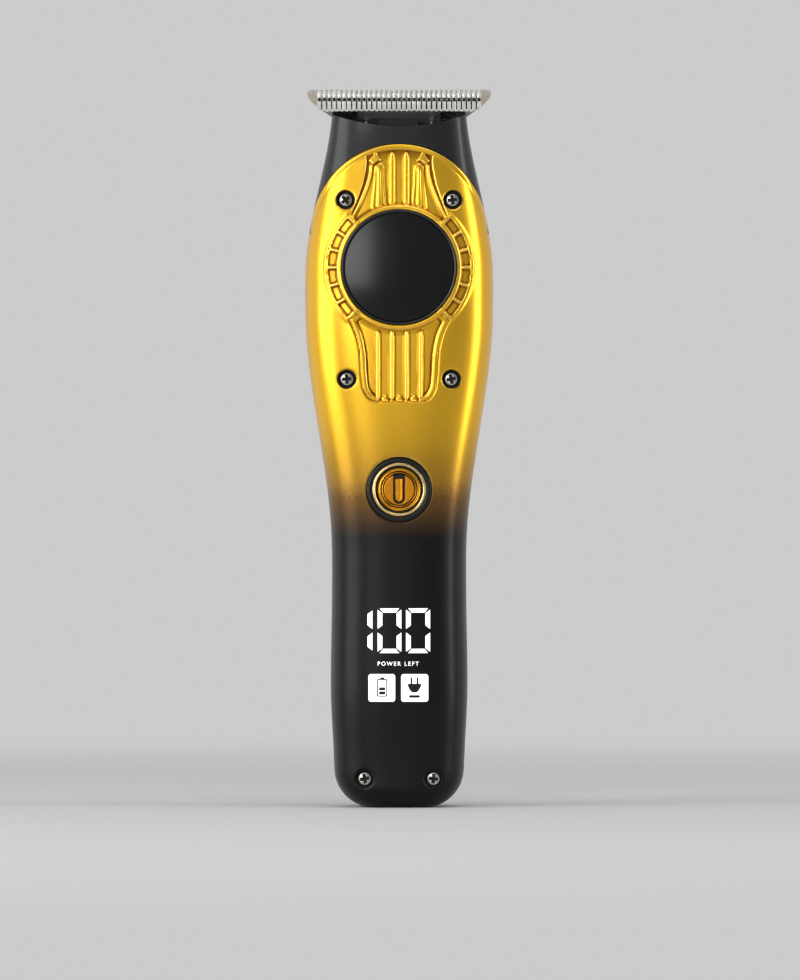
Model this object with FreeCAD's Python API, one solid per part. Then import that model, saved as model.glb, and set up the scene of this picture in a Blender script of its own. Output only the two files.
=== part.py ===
import FreeCAD, Part
import math
import os

# Cordless hair clipper with a T-shaped blade, standing upright on its base.
# X runs across, +Y points to the back of the casing, +Z points to the blade.
# All sizes are in millimetres. Heights named "..._up" are measured from the
# base, and depths named "..._down" are measured from the tips of the blade.

Vec = FreeCAD.Vector

# Overall form
body_length = 163.9
head_width = 43.1
grip_width = 30.8
neck_width = 30.3
foot_flare = 0.3
toe_draw = 0.85
head_front = 16.2
grip_front = 13.9
neck_front = 11.45
badge_proud = 0.8
head_rear = head_front + badge_proud
grip_rear = 14.2
neck_rear = 9.0
neck_lean = 4.0
swell_start_up = 57.6
swell_end_down = 50.0
draw_start_down = 42.7
draw_end_down = 1.2
foot_start_up = 50.0
foot_end_up = 28.0
toe_end_up = 6.0
casing_top_down = 5.7
corner_side_r = 9.0
corner_side_sink = 0.4
corner_depth_r = 5.0
corner_depth_sink = 0.2
front_power = 2.9
head_squareness = 0.7
neck_softness = 0.4
rear_power = 2.5

# Casing
wall = 1.5
floor_wall = 2.0
fit_gap = 0.1
free_gap = 0.3
shoulder_down = 32.9
arch_half_width = 20.3
arch_rise = 20.5
lip_depth = 2.5
lip_wall = 1.0
rim_dip = 2.7
rim_half_width = 15.1

# Relief on the front cover
relief_depth = 0.7
collar_proud = 0.5
badge_down = 40.75
badge_r = 12.35
badge_ring_r = 13.4
badge_seat_front = 14.6
badge_ring_front = 16.05
badge_pad_rear = 12.5
ring_fillet = 0.3
ridge_width = 0.8
collar_r = 16.75
collar_rim = 0.35
pocket_step = 15.0
pockets_each_side = 6
divider_width = 0.45
relief_top = 26.4
relief_half_top = 8.0
relief_throat = 20.0
relief_waist_x = 9.6
relief_waist = 14.6
relief_foot_x = 13.6
relief_foot = 7.0
lower_relief_bottom = 30.45
lower_relief_half = 9.2
lower_relief_corner = 4.3
lower_relief_shoulder = 20.5
lower_relief_flare_x = 10.9
lower_relief_flare = 13.6
rib_width = 1.3
rib_places = [-4.85, -1.65, 1.65, 4.85]

# Screws
screw_r = 1.2
screw_head_r = 1.55
screw_head_height = 1.0
recess_r = 2.15
recess_below = 1.6
screw_fillet = 0.35
cross_slot = 0.32
cross_depth = 0.6
cross_arm = 0.96
screw_tip_gap = 0.5
boss_r = 2.9
thread_gap = 0.02
shank_gap = 0.15
screw_reach = 6.5
post_floor = 1.5
web_below = 0.5
root = 0.5
port_corner_share = 0.8
web_share = 0.6
upper_screw_x = 12.2
upper_screw_down = 25.3
lower_screw_x = 11.9
lower_screw_down = 66.2
base_screw_x = 7.85
base_screw_up = 6.45
base_boss_r = 2.5

# Blade set
blade_width = 42.0
blade_tilt = 45.0
blade_front = 10.5
blade_sheet = 1.4
blade_tip_sheet = 0.6
blade_bevel = 4.5
blade_length = 22.0
blade_flare_start = 4.1
blade_flare_end = 8.8
blade_flare_half = 15.1
blade_tang_half = 12.2
blade_tang_start = 11.0
horn_r = 1.2
tooth_pitch = 1.14
tooth_gaps = 31
tooth_gap = 0.52
tooth_depth = 2.6
cutter_sheet = 1.5
cutter_lift = 0.05
cutter_set_back = 0.5
cutter_half = 18.7
cutter_band_end = 5.0
cutter_length = 13.0
cutter_tang_half = 9.5
cutter_gap_depth = 1.9
cutter_edge_sheet = 0.5
cutter_bevel = 0.9
cutter_band_gap = 0.4
rib_groove_depth = 0.55
rib_groove_end = 4.4
cutter_stroke = 1.6
seat_wall = 1.5
window_clear = 1.0
saddle_half = 1.4
saddle_in = 2.4
saddle_out = 0.4
bracket_sheet = 1.6
bracket_start = 14.8
bracket_half = 10.5
bracket_end_gap = 0.5
blade_screw_x = 7.5
blade_screw_along = 18.2
blade_screw_r = 1.25
blade_screw_head_r = 2.3
blade_screw_head_height = 1.2
blade_screw_fillet = 0.4
blade_screw_past = 0.4
blade_cross_half = 0.25
blade_cross_depth = 0.7
blade_cross_arm = 1.38

# Drive
pin_r = 1.0
pin_length = 3.2
cam_r = 4.0
cam_height = 2.8
driver_base_down = 20.9
driver_height = 3.0
driver_wall = 1.6
driver_gap_side = 0.15
driver_gap_depth = 0.35
cam_gap = 0.4
cam_socket = 0.8
pin_root = 0.2
driver_arm_front = 6.5
driver_arm_depth = 3.0
motor_r = 9.0
motor_length = 25.0
motor_top_down = 29.9
can_wall = 0.8
can_top = 1.0
shaft_below = 1.0
magnet_end = 3.0
magnet_sheet = 1.2
magnet_angle = 120.0
rotor_gap = 0.4
rotor_length = 17.0
rotor_slot = 1.6
rotor_slot_share = 0.55
rotor_poles = 3
shaft_r = 1.0
bush_r = 2.6
bush_proud = 1.4
running_gap = 0.03
end_cap_height = 2.0
terminal_width = 2.2
terminal_sheet = 0.4
terminal_x = 5.0
terminal_reach = 3.0
holder_wall = 1.6
holder_height = 14.5
holder_wing = 3.0
holder_up = 4.0
bracket_plate = 1.3
bracket_plate_depth = 9.0
bracket_screw_x = 5.2
bracket_screw_r = 0.9
bracket_screw_head_r = 1.62
bracket_screw_head = 0.8
bracket_screw_tip = 1.8
bracket_slot_half = 0.2
bracket_slot_depth = 0.4
spring_wire_r = 0.5
spring_half = 7.5
spring_bar_front = 9.5
spring_bar_down = 11.4
spring_tip_front = 6.5

# Electronics
board_sheet = 1.0
board_front = 9.0
board_half = 9.5
board_low_up = 20.0
board_high_up = 86.0
component_places = [(-7.0, -2.0, 53.0, 58.0, 0.9),
                    (1.0, 5.0, 54.0, 57.0, 0.8),
                    (6.2, 7.8, 53.5, 56.5, 0.6),
                    (-8.5, -5.5, 78.0, 81.0, 1.2),
                    (5.0, 8.5, 78.0, 82.0, 1.4)]
coil_r = 1.2
coil_x = 6.5
coil_up = 61.5
coil_height = 1.5
display_half = 8.4
display_low_up = 23.0
display_high_up = 48.0
display_front = 10.9
button_up = 72.5
button_hole_r = 7.45
bezel_r = 7.4
bezel_front = 14.2
bezel_inner_r = 6.1
bezel_flange_r = 8.6
bezel_flange = 0.8
bezel_back = 11.2
trim_proud = 0.15
trim_inner_r = 5.45
button_r = 5.05
button_dish_r = 4.0
button_front = 14.0
button_dish = 0.25
button_sheet = 2.0
button_travel = 0.6
stem_r = 1.8
switch_half = 3.0
switch_height = 2.2
switch_well_gap = 0.2
chassis_sheet = 1.2
chassis_half = 10.5
chassis_low_up = 12.6
chassis_high_up = 89.4
battery_r = 9.0
battery_length = 50.0
battery_low_up = 14.2
battery_back = 2.4
battery_fillet = 0.6
cradle_wall = 1.2
tab_sheet = 0.3
tab_half = 2.5
pad_half = 6.0
pad_low_up = 28.0
pad_high_up = 50.0
port_half = 4.47
port_height = 3.2
port_depth = 7.2
port_back = 4.0
port_wall = 0.35
port_gap = 0.15
port_board_half = 5.0
port_board_high_up = 12.4
port_rest_down = 3.0
port_start = 0.4
port_back_sheet = 1.0
tongue_side = 1.2
tongue_half = 0.35
tongue_start = 1.2
tongue_root = 0.5
port_board_lift = 0.6
lead_r = 0.5
lead_spread = 3.0
lead_bend = 2.0
lead_overlap = 3.0
lead_rise = 6.0
lead_straight = 3.5
lead_below_chassis = 1.6
lead_lap = 2.5

casing_top = body_length - casing_top_down
shoulder = body_length - shoulder_down
badge_up = body_length - badge_down
upper_screw_up = body_length - upper_screw_down
lower_screw_up = body_length - lower_screw_down
motor_top = body_length - motor_top_down
motor_base = motor_top - motor_length
board_back = -board_front + board_sheet
eccentricity = cutter_stroke / 2.0
far = 60.0


def smooth(start, end, z):
    """Runs from 0 to 1 between two heights, level at both ends."""
    t = min(max((z - start) / (end - start), 0.0), 1.0)
    return t * t * (3.0 - 2.0 * t)


def corner(radius, sink, z):
    """Gives how far the rounded lower edge draws in at a height."""
    rise = max(radius - sink - z, 0.0)
    return radius - math.sqrt(radius * radius - rise * rise)


def section_sizes(z):
    """Half width, front, rear, centre and front exponent of the casing at a height."""
    swell = smooth(swell_start_up, body_length - swell_end_down, z)
    draw = smooth(body_length - draw_start_down, body_length - draw_end_down, z)
    foot = smooth(foot_start_up, foot_end_up, z)
    toe = toe_draw * smooth(foot_end_up, toe_end_up, z)
    side = grip_width + (head_width - grip_width) * swell
    side += (neck_width - head_width) * draw
    half = side / 2.0 + foot_flare * foot - toe
    front = grip_front + (head_front - grip_front) * swell
    front += (neck_front - head_front) * draw - toe
    rear = grip_rear + (head_rear - grip_rear) * swell
    rear += (neck_rear - head_rear) * draw - toe
    half -= corner(corner_side_r, corner_side_sink, z)
    tuck = corner(corner_depth_r, corner_depth_sink, z)
    power = front_power + head_squareness * swell - neck_softness * draw
    return half, front - tuck, rear - tuck, -neck_lean * draw, power


def section_wire(z, inset):
    """One closed outline of the casing, drawn in by the inset, as two mirrored halves."""
    half, front, rear, centre, power = section_sizes(z)
    half, front, rear = half - inset, front - inset, rear - inset
    steps = 14
    points = []
    for i in range(steps + 1):
        angle = math.pi / 2.0 - math.pi * i / steps
        c, s = max(math.cos(angle), 0.0), math.sin(angle)
        if i in (0, steps):
            c = 0.0
        n = power if s < 0.0 else rear_power
        depth = front + centre if s < 0.0 else rear - centre
        reach = (c ** n + abs(s) ** n) ** (-1.0 / n)
        points.append(Vec(half * c * reach, centre + depth * s * reach, z))
    flipped = [Vec(-p.x, p.y, p.z) for p in reversed(points)]
    return Part.Wire([half_outline(points, half), half_outline(flipped, -half)])


def half_outline(points, half):
    """Curve through one side's points, evenly spaced and level at both ends."""
    steps = len(points) - 1
    slope = Vec(math.pi * half, 0, 0)
    curve = Part.BSplineCurve()
    curve.interpolate(Points=points, Parameters=[i / steps for i in range(steps + 1)],
                      InitialTangent=slope, FinalTangent=slope * -1.0, Scale=False)
    return curve.toShape()


def section_heights(low, high):
    """Heights of the sections, close together at the rounded base."""
    base = [0.0, 1.0, 2.2, 3.6, 5.2, 7.0, 9.0, 14.0, 20.0, 28.0, 39.0, 50.0]
    swell_end = body_length - swell_end_down
    draw_start = body_length - draw_start_down
    steps = 8
    for i in range(steps + 1):
        base.append(swell_start_up + (swell_end - swell_start_up) * i / steps)
    steps = 6
    for i in range(steps + 1):
        base.append(draw_start + (casing_top - draw_start) * i / steps)
    margin = 0.6
    inside = [z for z in base if low + margin < z < high - margin]
    return [low] + inside + [high]


def form(inset, low=0.0, high=None):
    """Solid bounded by the casing's surface drawn in by the inset."""
    high = casing_top if high is None else high
    wires = [section_wire(z, inset) for z in section_heights(low, high)]
    return Part.makeLoft(wires, True, False)


def box(x0, x1, y0, y1, z0, z1):
    return Part.makeBox(x1 - x0, y1 - y0, z1 - z0, Vec(x0, y0, z0))


def rod(radius, x, z, y0, y1):
    """Round bar along Y."""
    return Part.makeCylinder(radius, y1 - y0, Vec(x, y0, z), Vec(0, 1, 0))


def post(radius, x, y, z0, z1):
    """Round bar along Z."""
    return Part.makeCylinder(radius, z1 - z0, Vec(x, y, z0), Vec(0, 0, 1))


def tube_post(outer, inner, x, y, z0, z1):
    return post(outer, x, y, z0, z1).cut(post(inner, x, y, z0 - 1.0, z1 + 1.0))


def join(shapes):
    first, rest = shapes[0], shapes[1:]
    return first.fuse(rest).removeSplitter() if rest else first


def surface_front(x, z, inset=0.0):
    """Y of the casing's front surface at a place."""
    half, front, rear, centre, power = section_sizes(z)
    share = min(abs(x) / (half - inset), 1.0)
    return centre - (front - inset + centre) * (1.0 - share ** power) ** (1.0 / power)


outer_form = form(0.0)
inner_form = form(wall, floor_wall, casing_top + 1.5)
lining_form = form(wall + fit_gap, floor_wall + fit_gap, casing_top + 1.5)
casing = outer_form.cut(inner_form)


# Blade frame: u runs across, v runs down the blade from the tips, and w points
# out of the blade's outer face. The blade leans with its teeth to the front.
def blade_place(shape):
    tilt = math.radians(blade_tilt)
    tip = Vec(0, -blade_front, body_length - blade_tip_sheet * math.sin(tilt))
    turn = FreeCAD.Rotation(Vec(1, 0, 0), blade_tilt - 90.0)
    placed = shape.copy()
    placed.Placement = FreeCAD.Placement(tip, turn)
    return placed


def blade_box(u0, u1, v0, v1, w0, w1):
    return blade_place(box(u0, u1, v0, v1, w0, w1))


def blade_rod(radius, u, v, w0, w1):
    return blade_place(post(radius, u, v, w0, w1))


def plate(points, w0, w1):
    """Flat plate in the blade frame from an outline in u and v."""
    ring = [Vec(u, v, w0) for u, v in points]
    face = Part.Face(Part.makePolygon(ring + [ring[0]]))
    return face.extrude(Vec(0, 0, w1 - w0))


def mirrored(points):
    """Closes a right-hand outline with its mirror image."""
    return points + [(-u, v) for u, v in reversed(points)]


def gap_places(count):
    return [tooth_pitch * (i - (count - 1) / 2.0) for i in range(count)]


# Casing parts
def arch_region(drop=0.0, y0=-far, y1=0.0):
    """Space below the cover's arched top edge."""
    top = shoulder - drop
    left = Vec(-arch_half_width, y0, top)
    right = Vec(arch_half_width, y0, top)
    centre = Vec(0, y0, top)
    across = Vec(1, 0, 0) if arch_half_width >= arch_rise else Vec(0, 0, 1)
    long_r = max(arch_half_width, arch_rise)
    short_r = min(arch_half_width, arch_rise)
    far_end = centre + across * long_r
    up = Vec(0, 0, 1) if arch_half_width >= arch_rise else Vec(-1, 0, 0)
    ellipse = Part.Ellipse(far_end, centre + up * short_r, centre)
    disc = Part.Face(Part.Wire([ellipse.toShape()])).extrude(Vec(0, y1 - y0, 0))
    below = box(-far, far, y0, y1, -1.0, top)
    return join([below, disc.common(box(left.x, right.x, y0, y1, top - 1.0, top + far))])


def ring_shape(outer, inner, y0, y1):
    disc = rod(outer, 0.0, badge_up, y0, y1)
    return disc.cut(rod(inner, 0.0, badge_up, y0 - 1.0, y1 + 1.0))


def upper_field():
    """Outline of the sunk field between the badge and the arch."""
    half = [Vec(relief_half_top, 0, badge_up + relief_top),
            Vec(relief_half_top, 0, badge_up + relief_throat),
            Vec(relief_waist_x, 0, badge_up + relief_waist),
            Vec(relief_foot_x, 0, badge_up + relief_foot)]
    flip = [Vec(-p.x, 0, p.z) for p in half]
    edges = [Part.makeLine(flip[0], half[0]),
             Part.makeLine(half[0], half[1]),
             Part.Arc(half[1], half[2], half[3]).toShape(),
             Part.makeLine(half[3], flip[3]),
             Part.Arc(flip[3], flip[2], flip[1]).toShape(),
             Part.makeLine(flip[1], flip[0])]
    return field_solid(edges)


def lower_field():
    """Outline of the sunk field below the badge, with rounded lower corners."""
    low = badge_up - lower_relief_bottom
    side = lower_relief_half
    r = lower_relief_corner
    slant = r * (1.0 - math.sqrt(0.5))
    half = [Vec(side - r, 0, low),
            Vec(side - slant, 0, low + slant),
            Vec(side, 0, low + r),
            Vec(side, 0, badge_up - lower_relief_shoulder),
            Vec(lower_relief_flare_x, 0, badge_up - lower_relief_flare)]
    flip = [Vec(-p.x, 0, p.z) for p in half]
    edges = [Part.makeLine(flip[0], half[0]),
             Part.Arc(half[0], half[1], half[2]).toShape(),
             Part.makeLine(half[2], half[3]),
             Part.makeLine(half[3], half[4]),
             Part.makeLine(half[4], flip[4]),
             Part.makeLine(flip[4], flip[3]),
             Part.makeLine(flip[3], flip[2]),
             Part.Arc(flip[2], flip[1], flip[0]).toShape()]
    return field_solid(edges)


def field_solid(edges):
    face = Part.Face(Part.Wire(edges))
    solid = face.extrude(Vec(0, -far, 0))
    ribs = [box(x - rib_width / 2.0, x + rib_width / 2.0, -far, 1.0, 0.0, body_length)
            for x in rib_places]
    return solid.cut(ribs)


def pockets():
    """Row of shallow pockets on each side of the badge."""
    inner = badge_ring_r + ridge_width
    band = ring_shape(collar_r - collar_rim, inner, -far, 0.0)
    reach = collar_r + 1.0
    wedge_angle = pocket_step * pockets_each_side
    keep = []
    for side in (0.0, 180.0):
        start = side - wedge_angle / 2.0
        corner_up = Vec(reach * 2.0, 0, 0)
        turned = [rotate_about_badge(corner_up, start + pocket_step * i)
                  for i in range(pockets_each_side + 1)]
        outline = [Vec(0, 0, badge_up)] + turned + [Vec(0, 0, badge_up)]
        keep.append(Part.Face(Part.makePolygon(outline)).extrude(Vec(0, -far, 0)))
    sectors = band.common(join(keep))
    walls = []
    for side in (0.0, 180.0):
        for i in range(pockets_each_side + 1):
            angle = side - wedge_angle / 2.0 + pocket_step * i
            bar = box(0.0, reach, -far, 0.0, -divider_width / 2.0, divider_width / 2.0)
            bar.rotate(Vec(0, 0, 0), Vec(0, 1, 0), -angle)
            bar.translate(Vec(0, 0, badge_up))
            walls.append(bar)
    return sectors.cut(walls)


def rotate_about_badge(offset, angle):
    turn = FreeCAD.Rotation(Vec(0, 1, 0), -angle)
    return turn.multVec(offset) + Vec(0, 0, badge_up)


def cover_screw_places():
    return [(-upper_screw_x, upper_screw_up), (upper_screw_x, upper_screw_up),
            (-lower_screw_x, lower_screw_up), (lower_screw_x, lower_screw_up)]


def base_screw_places():
    return [(-base_screw_x, base_screw_up), (base_screw_x, base_screw_up)]


def seat_front(x, z):
    """Y of the floor of a screw's recess."""
    return surface_front(x, z) + recess_below


def screw_boss(x, z, radius, y0, y1):
    return rod(radius, x, z, y0, y1).common(inner_form)


def front_cover():
    cover = casing.common(arch_region())
    sunk = form(relief_depth)
    collar = ring_shape(collar_r, 1.0, -far, 0.0)
    raised = form(-collar_proud).cut(form(wall / 2.0)).common(collar)
    bosses = [screw_boss(x, z, boss_r, -far, 0.0) for x, z in cover_screw_places()]
    bosses += [screw_boss(x, z, base_boss_r, -far, 0.0) for x, z in base_screw_places()]
    seat_pad = rod(badge_ring_r + wall, 0.0, badge_up, -badge_seat_front, -badge_pad_rear)
    cover = cover.fuse([raised, seat_pad.common(inner_form)] + bosses)
    fields = [upper_field(), lower_field()]
    keep_out = rod(collar_r, 0.0, badge_up, -far, 0.0)
    for field in fields:
        cover = cover.cut(field.cut(keep_out).cut(sunk))
    cover = cover.cut(pockets().cut(form(relief_depth / 2.0)))
    cover = cover.cut(rod(badge_ring_r + fit_gap / 2.0, 0.0, badge_up, -far, -badge_seat_front))
    for x, z in cover_screw_places() + base_screw_places():
        cover = cover.cut(rod(recess_r, x, z, -far, seat_front(x, z)))
        cover = cover.cut(rod(screw_r + shank_gap, x, z, -far, 1.0))
    cover = cover.cut(rod(button_hole_r, 0.0, button_up, -far, -1.0))
    return cover


def port_opening(grow, z0, z1):
    """Rounded slot of the charging port."""
    half = port_half + grow
    tall = port_height / 2.0 + grow
    slot = box(-half, half, port_back - tall, port_back + tall, z0, z1)
    upright = [e for e in slot.Edges if abs(e.tangentAt(e.FirstParameter).z) > 0.9]
    return slot.makeFillet(tall * port_corner_share, upright)


def post_web(x, z, depth):
    """Web that ties a screw post to the side wall."""
    half = boss_r * web_share
    web = box(-half, boss_r, 0.0, depth, -half, half)
    if x < 0.0:
        web = box(-boss_r, half, 0.0, depth, -half, half)
    web.translate(Vec(x + math.copysign(boss_r, x), 0, z))
    return web.common(inner_form)


def rear_shell():
    shell = casing.common(box(-far, far, 0.0, far, -1.0, shoulder))
    depth = screw_reach + post_floor
    for x, z in cover_screw_places()[2:]:
        shell = shell.fuse(screw_boss(x, z, boss_r, 0.0, depth))
        shell = shell.fuse(post_web(x, z, depth - web_below))
    for x, z in base_screw_places():
        shell = shell.fuse(screw_boss(x, z, base_boss_r, 0.0, depth))
        half = base_boss_r * web_share
        foot = box(x - half, x + half, 0.0, depth - web_below, floor_wall - root, z)
        shell = shell.fuse(foot)
    rib_back = port_back + port_height / 2.0 + board_sheet
    rest = box(-port_half, port_half, rib_back, far, floor_wall - root, port_board_high_up - port_rest_down)
    shell = shell.fuse(rest.common(outer_form.common(inner_form)))
    for x, z in cover_screw_places()[2:] + base_screw_places():
        shell = shell.cut(rod(screw_r + thread_gap, x, z, -1.0, screw_reach))
    return shell.cut(port_opening(port_gap, -1.0, floor_wall + root))


def rim_cutter():
    """Everything above the concave upper rim of the head housing."""
    half = rim_half_width
    radius = (half * half + rim_dip * rim_dip) / (2.0 * rim_dip)
    centre = casing_top - rim_dip + radius
    return rod(radius, 0.0, centre, -far, far)


def head_lip():
    """Tongue of the head housing that tucks behind the rear shell's top edge."""
    low, high = shoulder - lip_depth, shoulder + lip_depth
    deep = wall + fit_gap + lip_wall
    core = form(deep, low - 1.0, high + 1.0)
    thin = form(wall + fit_gap, low, high).cut(core)
    thick = form(wall / 2.0, shoulder, high).cut(core)
    behind = box(-far, far, free_gap, far, low - 1.0, high + 1.0)
    return thin.common(behind), thick.common(behind)


def head_housing():
    """Upper casing: a hood with a slanted seat for the blade."""
    above = box(-far, far, -far, far, shoulder, casing_top + 1.0)
    shell = casing.common(above)
    slab = outer_form.common(above)
    slab = slab.common(blade_box(-far, far, -far, far, -seat_wall, seat_wall))
    shell = shell.fuse(slab)
    shell = shell.cut(arch_region())
    for piece in head_lip():
        shell = shell.fuse(piece)
    depth = screw_reach + post_floor
    for x, z in cover_screw_places()[:2]:
        shell = shell.fuse(screw_boss(x, z, boss_r, 0.0, depth))
        shell = shell.fuse(post_web(x, z, depth - web_below))
    saddle_z = body_length - spring_bar_down
    for side in (-1.0, 1.0):
        inner_x, outer_x = side * (spring_half - saddle_in), side * (spring_half + saddle_out)
        saddle = box(min(inner_x, outer_x), max(inner_x, outer_x), -far, -spring_bar_front,
                     saddle_z - saddle_half, saddle_z + saddle_half)
        shell = shell.fuse(saddle.common(inner_form))
    shell = shell.cut(rim_cutter())
    shell = shell.cut(blade_box(-far, far, -far, far, 0.0, far))
    clear = cutter_sheet + cutter_lift + free_gap
    shell = shell.cut(blade_box(-far, far, -far, cutter_band_end + cutter_band_gap, -clear, far))
    window_half = cutter_tang_half + cutter_stroke
    window_end = cutter_length + window_clear
    shell = shell.cut(blade_box(-window_half, window_half, -far, window_end, -clear, far))
    shell = shell.cut(bent_wire(spring_wire_r + thread_gap))
    for x, z in cover_screw_places()[:2]:
        shell = shell.cut(rod(screw_r + thread_gap, x, z, -1.0, screw_reach))
    for side in (-1.0, 1.0):
        shell = shell.cut(blade_rod(blade_screw_r + shank_gap, side * blade_screw_x,
                                    blade_screw_along, -far / 2.0, 1.0))
    return shell


def badge_ring():
    seat, face = -badge_seat_front, -badge_ring_front
    ring = ring_shape(badge_ring_r, badge_r + fit_gap / 2.0, face, seat)
    return ring.makeFillet(ring_fillet, [e for e in ring.Edges if e.BoundBox.YMax < face + 0.01])


def badge_disc():
    """Gently domed disc, thin at its edge."""
    seat, edge, crown = -badge_seat_front, -badge_ring_front, -head_front - badge_proud
    rise = edge - crown
    radius = (badge_r * badge_r + rise * rise) / (2.0 * rise)
    ball = Part.makeSphere(radius, Vec(0, crown + radius, badge_up))
    disc = rod(badge_r, 0.0, badge_up, crown - 1.0, seat)
    return disc.common(ball)


def cover_screw(x, z, tip):
    """Pan head screw with a cross recess, pointing to the back."""
    seat = seat_front(x, z)
    head = rod(screw_head_r, x, z, seat - screw_head_height, seat)
    top = [e for e in head.Edges if e.BoundBox.YMax < seat - screw_head_height + 0.01]
    head = head.makeFillet(screw_fillet, top)
    screw = join([head, rod(screw_r, x, z, seat - 0.1, tip)])
    half = cross_slot / 2.0
    y0 = seat - screw_head_height - 1.0
    y1 = seat - screw_head_height + cross_depth
    arm = cross_arm
    cross = join([box(x - arm, x + arm, y0, y1, z - half, z + half),
                  box(x - half, x + half, y0, y1, z - arm, z + arm)])
    return screw.cut(cross)


def screw_set(places):
    tip = screw_reach - screw_tip_gap
    return Part.makeCompound([cover_screw(x, z, tip) for x, z in places])


# Blade set
def fixed_blade():
    half = blade_width / 2.0
    outline = mirrored([(half, 0.0), (half, blade_flare_start),
                        (blade_flare_half, blade_flare_end),
                        (blade_tang_half, blade_tang_start),
                        (blade_tang_half, blade_length)])
    blade = plate(outline, 0.0, blade_sheet)
    ends = [e for e in blade.Edges
            if abs(e.BoundBox.XLength) < 0.01 and abs(e.BoundBox.YLength) < 0.01
            and abs(e.CenterOfMass.y) < 0.01]
    blade = blade.makeFillet(horn_r, ends)
    bevel = Part.Face(Part.makePolygon([Vec(-far, -1.0, blade_tip_sheet),
                                        Vec(-far, 0.0, blade_tip_sheet),
                                        Vec(-far, blade_bevel, blade_sheet),
                                        Vec(-far, blade_bevel, blade_sheet + 2.0),
                                        Vec(-far, -1.0, blade_sheet + 2.0),
                                        Vec(-far, -1.0, blade_tip_sheet)]))
    blade = blade.cut(bevel.extrude(Vec(2.0 * far, 0, 0)))
    gaps = [box(x - tooth_gap / 2.0, x + tooth_gap / 2.0, -1.0, tooth_depth, -1.0, far)
            for x in gap_places(tooth_gaps)]
    blade = blade.cut(gaps)
    holes = [post(blade_screw_r + shank_gap, side * blade_screw_x, blade_screw_along, -1.0, far)
             for side in (-1.0, 1.0)]
    return blade_place(blade.cut(holes))


def cutter_blade():
    low, high = -cutter_sheet - cutter_lift, -cutter_lift
    outline = mirrored([(cutter_half, cutter_set_back), (cutter_half, cutter_band_end),
                        (cutter_tang_half, cutter_band_end), (cutter_tang_half, cutter_length)])
    cutter = plate(outline, low, high)
    thin = high - cutter_edge_sheet
    bevel = Part.Face(Part.makePolygon([Vec(-far, -1.0, thin),
                                        Vec(-far, cutter_set_back, thin),
                                        Vec(-far, cutter_set_back + cutter_bevel, low),
                                        Vec(-far, cutter_set_back + cutter_bevel, low - 1.0),
                                        Vec(-far, -1.0, low - 1.0),
                                        Vec(-far, -1.0, thin)]))
    cutter = cutter.cut(bevel.extrude(Vec(2.0 * far, 0, 0)))
    end = cutter_set_back + cutter_gap_depth
    places = gap_places(tooth_gaps + 1)
    gaps = [box(x - tooth_gap / 2.0, x + tooth_gap / 2.0, -1.0, end, -far, far) for x in places]
    grooves = [box(x - tooth_gap / 2.0, x + tooth_gap / 2.0, end - 0.1, rib_groove_end,
                   low - 1.0, low + rib_groove_depth) for x in places]
    return blade_place(cutter.cut(gaps).cut(grooves))


def blade_bracket():
    """Threaded steel strip behind the blade seat."""
    back = -seat_wall
    strip = box(-bracket_half, bracket_half, bracket_start, blade_length - bracket_end_gap,
                back - bracket_sheet, back)
    holes = [post(blade_screw_r + thread_gap, side * blade_screw_x, blade_screw_along, -far, 1.0)
             for side in (-1.0, 1.0)]
    return blade_place(strip.cut(holes))


def blade_screws():
    screws = []
    tip = -seat_wall - bracket_sheet - blade_screw_past
    for side in (-1.0, 1.0):
        x = side * blade_screw_x
        head = post(blade_screw_head_r, x, blade_screw_along,
                    blade_sheet, blade_sheet + blade_screw_head_height)
        top = [e for e in head.Edges
               if e.BoundBox.ZMin > blade_sheet + blade_screw_head_height - 0.01]
        head = head.makeFillet(blade_screw_fillet, top)
        shank = post(blade_screw_r, x, blade_screw_along, tip, blade_sheet + 0.1)
        deep = blade_sheet + blade_screw_head_height - blade_cross_depth
        arm, slot = blade_cross_arm, blade_cross_half
        cross = [box(x - arm, x + arm, blade_screw_along - slot,
                     blade_screw_along + slot, deep, far),
                 box(x - slot, x + slot, blade_screw_along - arm,
                     blade_screw_along + arm, deep, far)]
        screws.append(blade_place(join([head, shank]).cut(cross)))
    return Part.makeCompound(screws)


# Drive
driver_base = body_length - driver_base_down
driver_top = driver_base + driver_height
slot_half_x = pin_r + eccentricity + cutter_stroke / 2.0 + driver_gap_side
slot_half_y = pin_r + eccentricity + driver_gap_depth
driver_half = slot_half_x + driver_wall


def cutter_driver():
    """Slotted follower that carries the cutter to and fro."""
    follower = box(-driver_half, driver_half, -driver_arm_front, slot_half_y + driver_wall,
                   driver_base, driver_top)
    slot = box(-slot_half_x, slot_half_x, -slot_half_y, slot_half_y, 0.0, body_length)
    arm_back = -driver_arm_front + driver_arm_depth
    arm = box(-driver_half, driver_half, -driver_arm_front, arm_back, driver_base, body_length)
    face = -cutter_sheet - cutter_lift
    arm = arm.cut(blade_box(-far, far, -far, far, face, far))
    return join([follower.cut(slot), arm])


def eccentric_cam():
    top = driver_base - cam_gap
    disc = post(cam_r, 0.0, 0.0, top - cam_height, top)
    pin = post(pin_r, 0.0, -eccentricity, top - pin_root, top + pin_root + pin_length)
    cam = join([disc, pin])
    return cam.cut(post(shaft_r, 0.0, 0.0, top - cam_height - 1.0, top - cam_socket))


def motor_shaft():
    top = driver_base - cam_gap - cam_socket
    return post(shaft_r, 0.0, 0.0, motor_base - shaft_below, top)


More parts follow.
